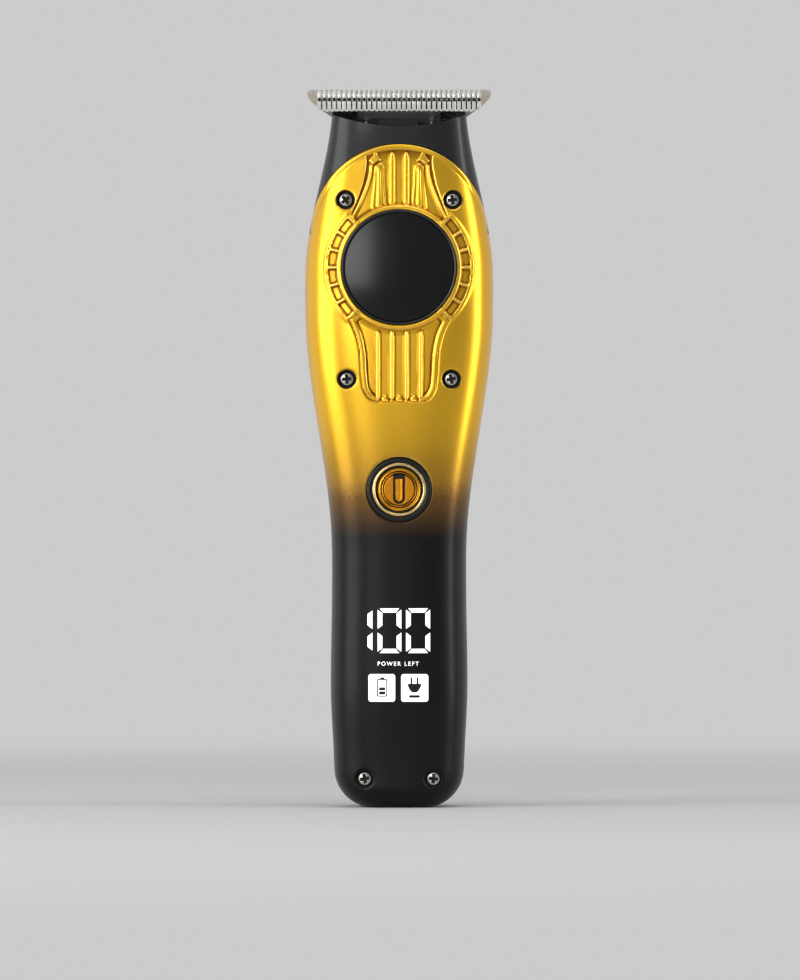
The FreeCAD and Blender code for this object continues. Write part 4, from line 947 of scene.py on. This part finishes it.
def makeBadge():
    front, back = (corner.y for corner in boxMm("badge_disc"))
    radius = badge["discRadius"]
    dome = []
    for k in range(25):
        r = radius * k / 24
        dome.append((r, front + badge["domeDrop"] * (r / radius) ** 2.0))
    edge = dome[-1][1]
    profile = dome + [(radius + 0.05, edge + 0.06), (radius + 0.05, edge + 0.16), (radius - 0.1, edge + 0.22),
                      (radius - 0.12, back), (0, back)]
    disc = newPiece("badgeDisc", *turned(profile, 0, badgeZ, 160), 30.0)
    dress(disc, "casing", "gloss_black", materials["glossBlack"], "badge_disc")
    face = boxMm("badge_ring")[0].y
    outer = badge["ringOuter"]
    ringProfile = roundedProfile([(radius + 0.07, face + 0.5, 0.1), (radius + 0.24, face + 0.06, 0.12),
                                  (outer - 0.22, face, 0.16), (outer, face + 0.25, 0.12),
                                  (outer, back, 0.1), (radius + 0.07, back, 0.1)])
    ring = newPiece("badgeRing", *turned(ringProfile, 0, badgeZ, 160), 40.0)
    dress(ring, "casing", "black_ring", materials["ringBlack"], "badge_ring")


makeBadge()
print("badge made")


screw = {
    "headTall": 1.0, "dome": 0.22, "slotHalf": 0.3, "slotReach": 1.12, "slotDeep": 0.55,
    "turns": {"upper": (38.0, 8.0), "lower": (4.0, 12.0), "base": (10.0, -6.0)},
    "shankRadius": 1.15, "wellWall": 0.14, "wellDeep": 1.6, "rimTall": 0.16, "rimWide": 0.22, "hub": 0.62,
    "crossReach": 1.3, "sideDeep": 0.45, "wellRim": 0.34,
}


def crossHeight(front, degrees):
    c, s = math.cos(math.radians(degrees)), math.sin(math.radians(degrees))

    def height(dx, dz):
        u, v = abs(dx * c + dz * s), abs(-dx * s + dz * c)
        r = math.hypot(dx, dz)
        dome = screw["dome"] * (r / headRadius) ** 2
        rim = screw["rimTall"] * soften(r, headRadius - screw["rimWide"], headRadius)
        arm, cross = max(u, v), min(u, v)
        width = screw["slotHalf"] * (0.8 + 0.35 * arm)
        inSlot = soften(width + 0.07 - cross, 0.0, 0.12) * soften(screw["slotReach"] - arm, 0.0, 0.16)
        hub = soften(screw["hub"] - r, 0.0, 0.2)
        return front + dome + rim + screw["slotDeep"] * max(inSlot * (1 - 0.35 * arm), hub)

    def inCross(dx, dz):
        r = math.hypot(dx, dz)
        sunk = height(dx, dz) - front - screw["dome"] * (r / headRadius) ** 2
        return r < screw["crossReach"] and sunk > 0.1
    return height, inCross


def darkenFaces(piece, spots, isDark, material):
    # paints the faces that lie deep in a slot with a second, dark material as painted shade
    piece.data.materials.append(material)
    for face in piece.data.polygons:
        cx, cz = face.center.x / mm, face.center.z / mm
        sx, sz, rule = min(((x, z, f) for (x, z), f in zip(spots, isDark)),
                           key=lambda s: math.hypot(cx - s[0], cz - s[1]))
        if rule(cx - sx, cz - sz):
            face.material_index = 1


def makeScrews(name, node, spots, turns):
    back = boxMm(node)[1].y
    screwParts, wellParts, rules = [], [], []
    radii = [headRadius * (k + 1) / 30 for k in range(30)]
    for (sx, sz), degrees in zip(spots, turns):
        surface = float(frontY(np.array([sx]), np.array([sz]))[0])
        head = surface + screw["wellDeep"] - screw["headTall"]
        under, shank = head + screw["headTall"] - 0.02, screw["shankRadius"]
        skirt = [(headRadius, head + screw["sideDeep"]), (headRadius, under), (shank, under), (shank, back)]
        height, inCross = crossHeight(head, degrees)
        rules.append(inCross)
        screwParts.append(polarCap(sx, sz, radii, 96, height, skirt))
        outer, inner = screwSpots["wellRadius"] - 0.01, screwSpots["wellRadius"] - screw["wellWall"]
        floor = surface + screw["wellDeep"]
        rim = surface + screw["wellRim"]
        wall = [(outer, rim), (inner, rim + 0.05), (inner, floor), (shank + 0.1, floor),
                (shank + 0.1, floor + 0.4), (outer, floor + 0.4)]
        wellParts.append(turned(wall, sx, sz, 64))
    heads = newPiece(name, *merged(screwParts), 50.0)
    dress(heads, "casing", "screw_steel", materials["screwSteel"], node)
    # the cross recess in each head gets painted shade
    darkenFaces(heads, spots, rules, materials["shadowSteel"])
    return wellParts


turns = screw["turns"]
wells = makeScrews("coverScrews", "cover_screws", screwSpots["upper"] + screwSpots["lower"],
                   turns["upper"] + turns["lower"])
wells += makeScrews("baseScrews", "base_screws", screwSpots["base"], turns["base"])
wellPiece = newPiece("screwWells", *merged(wells), 40.0)
dress(wellPiece, "casing", "black_plastic", materials["wellBlack"])
print("screws made")


button = {
    "bezelOuter": 7.4, "bezelInner": 6.1, "trimInner": 5.45, "radius": 5.0, "rimLine": 4.62,
    "grooves": (4.12, 3.66), "grooveHalf": 0.12, "grooveDeep": 0.3, "discDeep": 0.2,
    "slotHalf": 1.38, "slotLow": -3.3, "barHalf": 0.92, "barLow": -2.85, "slotDeep": 0.4, "barTop": 2.6,
    "rings": 84, "sides": 160, "shoulder": 0.8, "capTall": 2.0, "stem": 1.8,
}


def buttonHeight(front):
    b = button

    def barInside(dx, dz, half, low):
        # positive inside a bar that is open upwards and round below
        return half - (math.hypot(dx, dz - low - half) if dz < low + half else abs(dx))

    def slotShare(dx, dz):
        onDisc = soften(b["grooves"][1] - math.hypot(dx, dz), 0.0, 0.12)
        slot = soften(barInside(dx, dz, b["slotHalf"], b["slotLow"]), 0.0, 0.14) * onDisc
        bar = soften(barInside(dx, dz, b["barHalf"], b["barLow"]), 0.0, 0.14)
        bar = bar * soften(b["barTop"] - dz, 0.0, 0.2)
        return slot, bar

    def height(dx, dz):
        r = math.hypot(dx, dz)
        rim = 0.3 * soften(r, b["radius"] - 0.2, b["radius"])
        line = 0.1 * math.exp(-((r - b["rimLine"]) / 0.1) ** 2)
        groove = sum(b["grooveDeep"] * math.exp(-((r - g) / b["grooveHalf"]) ** 2) for g in b["grooves"])
        disc = b["discDeep"] * soften(b["grooves"][1] - r, 0.0, 0.1)
        slot, bar = slotShare(dx, dz)
        inlay = 0.1 * soften(barInside(dx, dz, 0.5, b["barLow"] + 0.5), 0.0, 0.12) * bar
        return front + rim + line + groove + disc + b["slotDeep"] * slot * (1 - 0.85 * bar) + inlay

    def inGroove(dx, dz):
        r = math.hypot(dx, dz)
        slot, bar = slotShare(dx, dz)
        return min(abs(r - g) for g in b["grooves"]) < 0.09 or (slot > 0.5 and bar < 0.4)

    def onDisc(dx, dz):
        return math.hypot(dx, dz) < b["grooves"][1]
    return height, inGroove, onDisc


def makeButton():
    b = button
    low, high = boxMm("power_button")
    rings = [b["radius"] * (k + 1) / b["rings"] for k in range(b["rings"])]
    height, inGroove, onDisc = buttonHeight(low.y)
    under = low.y + b["capTall"]
    skirt = [(b["radius"], low.y + b["shoulder"]), (b["radius"], under),
             (b["stem"], under), (b["stem"], high.y)]
    cap = polarCap(0, buttonZ, rings, b["sides"], height, skirt)
    piece = newPiece("powerButton", *cap, 35.0)
    dress(piece, "button", "gold_metal", materials["goldMetal"], "power_button")
    # the button's grooves and slot get painted shade
    darkenFaces(piece, [(0, buttonZ)], [inGroove], materials["shadowSteel"])
    piece.data.materials.append(materials["buttonOrange"])
    for face in piece.data.polygons:
        if face.material_index == 0 and onDisc(face.center.x / mm, face.center.z / mm - buttonZ):
            face.material_index = 2
    low, high = boxMm("button_trim")
    inner, outer = b["trimInner"], b["bezelInner"] - 0.02
    trimProfile = roundedProfile([(inner, low.y + 0.18, 0.1), (inner + 0.2, low.y, 0.12),
                                  (outer, low.y + 0.12, 0.12), (outer, high.y, 0.05),
                                  (inner, high.y, 0.05)])
    trim = newPiece("buttonTrim", *turned(trimProfile, 0, buttonZ, 128), 40.0)
    dress(trim, "casing", "gold_metal", materials["trimMetal"], "button_trim")
    low, high = boxMm("button_bezel")
    inner, outer = b["bezelInner"], b["bezelOuter"]
    bezelProfile = roundedProfile([(inner, low.y + 0.3, 0.1), (inner + 0.3, low.y + 0.02, 0.2),
                                   (outer - 0.25, low.y + 0.05, 0.2), (outer, low.y + 0.3, 0.15),
                                   (outer, high.y, 0.05), (inner, high.y, 0.05)])
    bezel = newPiece("buttonBezel", *turned(bezelProfile, 0, buttonZ, 128), 40.0)
    dress(bezel, "casing", "black_plastic", materials["bezelBlack"], "button_bezel")


makeButton()
print("button made")


display = {
    "lift": 0.03, "sink": 0.12, "cell": 0.55, "stroke": 1.08, "mitre": 0.75, "gap": 0.3, "middleGap": 0.42,
    "figureTop": 45.4, "figureLow": 35.2, "figures": ((-4.91, 0.50), (1.58, 7.07)),
    "one": (-7.22, -6.1, 44.9, 40.7, 39.85, 35.8),
    "tiles": ((-7.02, -0.90), (0.46, 6.66)), "tileTop": 30.4, "tileLow": 24.1, "tileCorner": 0.62,
    "label": (-4.89, 4.48, 33.25, 32.3), "labelSpacing": 1.35, "labelWeight": 0.006, "labelThick": 0.05,
    "batterySign": (-3.87, 27.45), "plugSign": (3.5, 27.35), "signLift": 0.03,
}


def conformed(outlines, lift, sink):
    # flat outlines in x and z, laid on the casing's face as one thin closed plate
    c = display["cell"]
    corners, edges = [], []
    for outline in outlines:
        start, count = len(corners), len(outline)
        for i, (px, pz) in enumerate(outline):
            corners.append((px, pz))
            edges.append((start + i, start + (i + 1) % count))
    xs, zs = [p[0] for p in corners], [p[1] for p in corners]
    across, upward = np.arange(min(xs) + c / 2, max(xs), c), np.arange(min(zs) + c / 2, max(zs), c)
    grid = [(gx, gz) for gx in across for gz in upward]
    gx, gz = np.array([g[0] for g in grid] or [0.0]), np.array([g[1] for g in grid] or [0.0])
    keep = np.zeros(len(gx), bool)
    for outline in outlines:
        keep ^= insideLine(gx, gz, outline)
        closed = outline + outline[:1]
        keep &= lineDistance(gx, gz, closed) > c * 0.35
    extra = [g for g, k in zip(grid, keep) if k]
    flat = [Vector(p) for p in corners + extra]
    verts, _, tris, *_ = geometry.delaunay_2d_cdt(flat, edges, [], 1, 1e-5)
    cx = np.array([sum(verts[i].x for i in t) / 3 for t in tris])
    cz = np.array([sum(verts[i].y for i in t) / 3 for t in tris])
    inside = np.zeros(len(tris), bool)
    for outline in outlines:
        inside ^= insideLine(cx, cz, outline)
    tris = [list(t) for t, k in zip(tris, inside) if k]
    px, pz = np.array([v.x for v in verts]), np.array([v.y for v in verts])
    surface = frontY(px, pz) - cover["proud"]
    n = len(verts)
    points = [(a, s + shift, b) for shift in (-lift, sink) for a, s, b in zip(px, surface, pz)]
    used = {}
    for t in tris:
        for i in range(3):
            used[(t[i], t[(i + 1) % 3])] = True
    faces = list(tris) + [[i + n for i in reversed(t)] for t in tris]
    faces += [[a, b, b + n, a + n] for a, b in used if (b, a) not in used]
    kept = sorted({i for f in faces for i in f})
    index = {k: i for i, k in enumerate(kept)}
    return [points[k] for k in kept], [[index[i] for i in f] for f in faces]


def dense(outline, step=0.4):
    out = []
    for (ax, az), (bx, bz) in zip(outline, outline[1:] + outline[:1]):
        count = max(1, int(math.hypot(bx - ax, bz - az) / step))
        out += [(ax + (bx - ax) * k / count, az + (bz - az) * k / count) for k in range(count)]
    return out


def roundedRectangle(x0, x1, z0, z1, radius, steps=6):
    out = []
    for cx, cz, turn in ((x1 - radius, z1 - radius, 0), (x0 + radius, z1 - radius, 90),
                         (x0 + radius, z0 + radius, 180), (x1 - radius, z0 + radius, 270)):
        for k in range(steps + 1):
            a = math.radians(turn + 90 * k / steps)
            out.append((cx + radius * math.cos(a), cz + radius * math.sin(a)))
    return out


def upright(x0, x1, top, low, mitreRight):
    s = (x1 - x0) * display["mitre"]
    if mitreRight:
        return [(x0, top), (x0, low), (x1, low + s), (x1, top - s)]
    return [(x1, top), (x0, top - s), (x0, low + s), (x1, low)]


def figureOutlines():
    d = display
    s, g = d["stroke"], d["gap"]
    x0, x1, top, midTop, midLow, low = d["one"]
    out = [upright(x0, x1, top, midTop, False), upright(x0, x1, midLow, low, False)]
    top, low = d["figureTop"], d["figureLow"]
    middle = (top + low) / 2
    for x0, x1 in d["figures"]:
        h = s * 0.9
        out.append([(x0 + g * 1.6, top), (x0 + g + h, top - h), (x1 - g - h, top - h), (x1 - g * 1.6, top)])
        out.append([(x0 + g * 1.6, low), (x1 - g * 1.6, low), (x1 - g - h, low + h), (x0 + g + h, low + h)])
        for a, b in ((top - g, middle + d["middleGap"]), (middle - d["middleGap"], low + g)):
            out.append(upright(x0, x0 + s, a, b, True))
            out.append(upright(x1 - s, x1, a, b, False))
    return out


def makeDisplay():
    d = display
    parts = [conformed([dense(o)], d["lift"], d["sink"]) for o in figureOutlines()]
    figures = newPiece("chargeFigures", *merged(parts), 30.0)
    dress(figures, "casing", "clear_guide", materials["litWhite"])
    tiles = [roundedRectangle(x0, x1, d["tileLow"], d["tileTop"], d["tileCorner"]) for x0, x1 in d["tiles"]]
    tiles = [conformed([dense(tile, 0.5)], d["lift"], d["sink"]) for tile in tiles]
    tilePiece = newPiece("signTiles", *merged(tiles), 30.0)
    dress(tilePiece, "casing", "clear_guide", materials["litWhite"])
    bx, by = d["batterySign"]
    battery = [[roundedRectangle(bx - 1.18, bx + 1.18, by - 2.2, by + 1.85, 0.35),
                roundedRectangle(bx - 0.93, bx + 0.93, by - 1.95, by + 1.6, 0.2)],
               [roundedRectangle(bx - 0.5, bx + 0.5, by + 1.85, by + 2.2, 0.1)],
               [roundedRectangle(bx - 0.7, bx + 0.7, by - 1.72, by - 1.0, 0.08)],
               [roundedRectangle(bx - 0.7, bx + 0.7, by - 0.78, by - 0.06, 0.08)]]
    px, pz = d["plugSign"]
    plug = [[roundedRectangle(px - 0.9, px - 0.5, pz + 0.7, pz + 2.3, 0.12)],
            [roundedRectangle(px + 0.5, px + 0.9, pz + 0.7, pz + 2.3, 0.12)],
            [[(px - 1.5, pz + 0.85), (px - 1.5, pz + 0.3), (px - 0.95, pz - 0.75), (px - 0.45, pz - 1.15),
              (px + 0.45, pz - 1.15), (px + 0.95, pz - 0.75), (px + 1.5, pz + 0.3), (px + 1.5, pz + 0.85)]],
            [roundedRectangle(px - 1.25, px + 1.25, pz - 2.35, pz - 1.75, 0.28)]]
    signs = []
    for outlines in battery + plug:
        signs.append(conformed([dense(o, 0.3) for o in outlines], d["lift"] + d["signLift"], 0.0))
    signPiece = newPiece("tileSigns", *merged(signs), 30.0)
    dress(signPiece, "casing", "display_black", materials["signBlack"])


def makeLabel():
    d = display
    x0, x1, top, low = d["label"]
    text = bpy.data.curves.new("labelText", "FONT")
    text.body = "POWER LEFT"
    text.space_character = d["labelSpacing"]
    text.offset = d["labelWeight"]
    text.extrude = d["labelThick"]
    text.resolution_u = 4
    holder = bpy.data.objects.new("labelText", text)
    bpy.context.scene.collection.objects.link(holder)
    bpy.context.view_layer.update()
    mesh = bpy.data.meshes.new_from_object(holder.evaluated_get(bpy.context.evaluated_depsgraph_get()))
    bpy.data.objects.remove(holder)
    co = np.array([v.co for v in mesh.vertices])
    lowest, highest = co.min(0), co.max(0)
    px = x0 + (co[:, 0] - lowest[0]) / (highest[0] - lowest[0]) * (x1 - x0)
    pz = low + (co[:, 1] - lowest[1]) / (highest[1] - lowest[1]) * (top - low)
    surface = frontY(px, pz) - cover["proud"]
    py = np.where(co[:, 2] > 0, surface - d["lift"], surface + d["sink"])
    for vertex, a, b, c in zip(mesh.vertices, px, py, pz):
        vertex.co = (a * mm, b * mm, c * mm)
    mesh.name = "powerLeftLabel"
    label = bpy.data.objects.new("powerLeftLabel", mesh)
    bpy.context.scene.collection.objects.link(label)
    tidyNormals(mesh)
    dress(label, "casing", "clear_guide", materials["litWhite"])


makeDisplay()
makeLabel()
print("display made")


blades = {
    "pitch": 1.14, "ribCount": 33, "ribSteps": 12, "grooveHalf": 0.22, "grooveDeep": 0.4, "darkHalf": 0.11,
    "half": 18.7, "cornerRound": 1.5, "toothHalf": 0.29, "tangHalf": 9.5, "bandLow": 158.86,
    # front of the ribbed band from its top to its foot, as y and z
    "bandFront": [(-10.3, 161.3), (-10.6, 161.15), (-10.52, 160.6), (-10.35, 159.9), (-10.2, 159.4),
                  (-10.12, 159.2), (-9.95, 159.0), (-9.7, 158.9)],
    "bandBack": [(-8.06, 158.88), (-7.02, 159.9), (-8.4, 161.28)],
    "tooth": [(-9.7, 161.1), (-10.2, 162.0), (-10.3, 162.7), (-10.16, 163.04), (-10.08, 162.96),
              (-8.4, 161.28)],
    "toothShade": 161.75,
    "tang": [(4.4, -0.1), (13.0, -0.1), (13.0, -1.5), (4.4, -1.5)],
    "tipGapHalf": 0.27, "tipGaps": 33, "tipDeep": 2.7, "sheet": (0.6, 1.4, 4.5),
    "plateEdge": [(20.4, 0.0), (20.9, 0.35), (21.0, 0.9), (20.75, 2.0), (19.9, 3.4), (18.6, 4.9), (16.9, 6.6),
                  (15.1, 8.3), (13.2, 9.6), (12.2, 11.0), (12.2, 22.0)],
    "tipY": -10.5, "screwX": 7.5, "screwAlong": 18.2, "holeRadius": 1.35,
}


def extrudeSection(section, xs):
    # closes a run of same-sized sections, one at each x, into a solid
    points = [(x, y, z) for x, ring in zip(xs, section) for y, z in ring]
    n = len(section[0])
    faces = []
    for k in range(len(xs) - 1):
        a, b = k * n, (k + 1) * n
        faces += [(a + i, a + (i + 1) % n, b + (i + 1) % n, b + i) for i in range(n)]
    last = (len(xs) - 1) * n
    faces += [tuple(range(n - 1, -1, -1)), tuple(last + i for i in range(n))]
    return points, faces


def bladePoint(x, along, out):
    # from the blade's own plane, tilted half way, to the object's axes
    share = math.sqrt(0.5)
    return x, bladeTip[0] + (along + out) * share, bladeTip[1] + (out - along) * share


def makeCutter():
    b = blades
    count = b["ribCount"] * b["ribSteps"]
    xs = np.linspace(-b["half"], b["half"], count + 1)
    sections = []
    for x in xs:
        phase = abs((x / b["pitch"]) % 1.0 - 0.5) * b["pitch"]
        cut = b["grooveDeep"] * float(rise(b["grooveHalf"], b["grooveHalf"] - 0.2, phase))
        cut = cut * (abs(x) < b["half"] - 0.5)
        over = max(abs(x) - b["half"] + b["cornerRound"], 0.0) / b["cornerRound"]
        lift = b["bandLow"] + b["cornerRound"] * (1.0 - math.sqrt(max(1.0 - over ** 2, 0.0)))
        ring = []
        for y, z in b["bandFront"]:
            share = float(rise(159.0, 159.35, z))
            ring.append((y + cut * share, max(z, lift)))
        ring += [(y, max(z, lift)) for y, z in b["bandBack"]]
        sections.append(ring)
    parts = [extrudeSection(sections, xs)]
    for i in range(b["ribCount"]):
        x = b["pitch"] * (i - (b["ribCount"] - 1) / 2)
        if abs(x) > b["half"] - 0.4:
            continue
        wide = [x + b["toothHalf"] * s for s in (-1.0, -0.7, 0.7, 1.0)]
        rings = []
        for inset in (0.08, 0.0, 0.0, 0.08):
            rings.append([(y + inset * (j < 3), z - inset * (j == 3)) for j, (y, z) in enumerate(b["tooth"])])
        parts.append(extrudeSection(rings, wide))
    tang = [bladePoint(0, v, w)[1:] for v, w in b["tang"]]
    parts.append(extrudeSection([tang, tang], [-b["tangHalf"], b["tangHalf"]]))
    piece = newPiece("ribbedCutter", *merged(parts), 40.0)
    dress(piece, "cutter", "blade_steel", materials["bladeSteel"], "cutter_blade")
    # painted shade: dark material on the groove floors between the ribs and on the teeth's lower faces
    piece.data.materials.append(materials["shadowSteel"])
    for face in piece.data.polygons:
        x, y, z = (v / mm for v in face.center)
        phase = abs((x / b["pitch"]) % 1.0 - 0.5) * b["pitch"]
        inGroove = phase < b["darkHalf"] and y < -9.6 and 159.3 < z < 161.1 and face.normal.y < -0.2
        if inGroove or (y > -10.25 and z < b["toothShade"] and face.normal.y < -0.2) and z > 160.9:
            face.material_index = 1


def flatPlate(outlines, place):
    # a plate from flat outlines, the later ones holes; place gives each corner at either face
    corners, edges = [], []
    for outline in outlines:
        start, count = len(corners), len(outline)
        corners += outline
        edges += [(start + i, start + (i + 1) % count) for i in range(count)]
    verts, _, tris, *_ = geometry.delaunay_2d_cdt([Vector(p) for p in corners], edges, [], 1, 1e-5)
    cx = np.array([sum(verts[i].x for i in t) / 3 for t in tris])
    cz = np.array([sum(verts[i].y for i in t) / 3 for t in tris])
    inside = np.zeros(len(tris), bool)
    for outline in outlines:
        inside ^= insideLine(cx, cz, outline)
    tris = [list(t) for t, k in zip(tris, inside) if k]
    n = len(verts)
    points = [place(v.x, v.y, 0) for v in verts] + [place(v.x, v.y, 1) for v in verts]
    sides = {(t[i], t[(i + 1) % 3]) for t in tris for i in range(3)}
    faces = tris + [[i + n for i in reversed(t)] for t in tris]
    faces += [[a, b, b + n, a + n] for a, b in sorted(sides) if (b, a) not in sides]
    kept = sorted({i for f in faces for i in f})
    index = {k: i for i, k in enumerate(kept)}
    return [points[k] for k in kept], [[index[i] for i in f] for f in faces]


def makeFixedBlade():
    b = blades
    edge = [(-x, v) for x, v in reversed(b["plateEdge"])]
    teeth = []
    for i in range(b["tipGaps"]):
        x = b["pitch"] * (i - (b["tipGaps"] - 1) / 2)
        for side in (-1, 1):
            wide = b["tipGapHalf"]
            corners = [(x + side * wide, 0.05), (x + side * (wide - 0.02), b["tipDeep"])]
            rounded = [(x + side * (wide + 0.1), 0.0)]
            teeth += rounded + corners if side < 0 else corners[::-1] + rounded
    outline = edge + teeth + b["plateEdge"]
    turn, radius = [k * math.pi / 12 for k in range(24)], b["holeRadius"]
    holes = [[(side * b["screwX"] + radius * math.cos(a), b["screwAlong"] + radius * math.sin(a))
              for a in turn] for side in (-1, 1)]
    thin, thick, length = b["sheet"]

    def place(x, along, upper):
        return bladePoint(x, along, upper * (thin + (thick - thin) * min(along / length, 1.0)))
    piece = newPiece("toothedBlade", *flatPlate([outline] + holes, place), 30.0)
    dress(piece, "casing", "blade_steel", materials["tipSteel"], "fixed_blade")


bladeTip = (blades["tipY"], boxMm("fixed_blade")[1].z - blades["sheet"][0] * math.sqrt(0.5))
makeCutter()
makeFixedBlade()
print("blades made")


studio = {
    "worldLevels": (0.36, 0.6, 0.34, 0.14), "floorRadius": 0.8, "floorFade": (0.16, 0.62),
    "floorRings": 12, "floorSides": 96, "floorDrop": 0.0002, "lampAim": (0, 0, 0.09),
    "floorTones": ((0.56, 0.56, 0.555, 1), (0.6, 0.6, 0.595, 1)),
    "lamps": {
        "key": ((-0.95, -0.5, 0.38), (0.75, 1.0), 9.0), "edge": ((0.95, -0.22, 0.25), (0.2, 1.0), 4.5),
        "top": ((0.1, -0.35, 0.95), (0.6, 0.4), 2.0), "panel": ((-0.27, -0.9, 0.22), (0.26, 0.34), 1.5),
    },
}


def makeStudio():
    world = bpy.data.worlds.new("paleRoom")
    bpy.context.scene.world = world
    world.use_nodes = True
    world.node_tree.nodes["Background"].inputs[0].default_value = (1.0, 1.0, 1.0, 1.0)
    tree = world.node_tree
    place = tree.nodes.new("ShaderNodeTexCoord")
    look = addNode(tree, "ShaderNodeSeparateXYZ", {0: place.outputs["Generated"]})
    front, behind, left, right = studio["worldLevels"]
    level = spread(tree, look.outputs[1], -0.3, 0.85, front, behind, smooth=True)
    level = math2(tree, "ADD", level, spread(tree, look.outputs[0], -0.35, -0.95, 0.0, left, smooth=True))
    level = math2(tree, "ADD", level, spread(tree, look.outputs[0], 0.6, 0.98, 0.0, right, smooth=True))
    tree.links.new(level, tree.nodes["Background"].inputs[1])
    points = [(0, 0, 0)]
    ringCount, count = studio["floorRings"], studio["floorSides"]
    turn = [2 * math.pi * i / count for i in range(count)]
    for r in (studio["floorRadius"] * (k + 1) / ringCount for k in range(ringCount)):
        points += [(r * math.cos(a), r * math.sin(a), 0) for a in turn]
    faces = [(0, 1 + i, 1 + (i + 1) % count) for i in range(count)]
    for a in (1 + k * count for k in range(ringCount - 1)):
        steps = [(i, (i + 1) % count) for i in range(count)]
        faces += [(a + i, a + count + i, a + count + j, a + j) for i, j in steps]
    mesh = bpy.data.meshes.new("paleFloor")
    mesh.from_pydata([(x, y, z - studio["floorDrop"]) for x, y, z in points], [], faces)
    floor = bpy.data.objects.new("paleFloor", mesh)
    bpy.context.scene.collection.objects.link(floor)
    material, tree, s = newMaterial("paleFloorPaint", Roughness=0.9)
    s["Specular IOR Level"].default_value = 0.1
    place = tree.nodes.new("ShaderNodeTexCoord")
    far = addNode(tree, "ShaderNodeVectorMath", {0: place.outputs["Object"]}, operation="LENGTH")
    fine = placeGroup(tree, "grain", Scale=300.0, Patch_Scale=8.0, Contrast=0.2)
    tree.links.new(mixColour(tree, fine[0], *studio["floorTones"]), s["Base Color"])
    fade = spread(tree, far.outputs["Value"], *studio["floorFade"], 1.0, 0.0, smooth=True)
    tree.links.new(fade, s["Alpha"])
    mesh.materials.append(material)
    for name, (spot, size, power) in studio["lamps"].items():
        lamp = bpy.data.lights.new(name + "Lamp", "AREA")
        lamp.shape = "RECTANGLE"
        lamp.size, lamp.size_y = size
        lamp.energy = power
        holder = bpy.data.objects.new(name + "Lamp", lamp)
        holder.location = spot
        aim = Vector(studio["lampAim"]) - Vector(spot)
        holder.rotation_euler = aim.to_track_quat("-Z", "Y").to_euler()
        holder.visible_camera = False
        bpy.context.scene.collection.objects.link(holder)


view = {"distance": 2.2, "aside": 0.0002, "far": 20.0, "midHeight": 72.4, "frameTall": 225.0, "sensor": 36.0}


def makeCamera():
    camera = bpy.data.cameras.new("frontCamera")
    camera.sensor_fit = "VERTICAL"
    camera.sensor_height = view["sensor"]
    camera.lens = view["sensor"] * view["distance"] / (view["frameTall"] * mm)
    camera.clip_end = view["far"]
    holder = bpy.data.objects.new("frontCamera", camera)
    holder.location = (view["aside"], -view["distance"], view["midHeight"] * mm)
    holder.rotation_euler = (math.radians(90), 0, 0)
    bpy.context.scene.collection.objects.link(holder)
    bpy.context.scene.camera = holder


makeStudio()
makeCamera()
bpy.context.scene.view_settings.view_transform = "Standard"
print("studio and camera set")
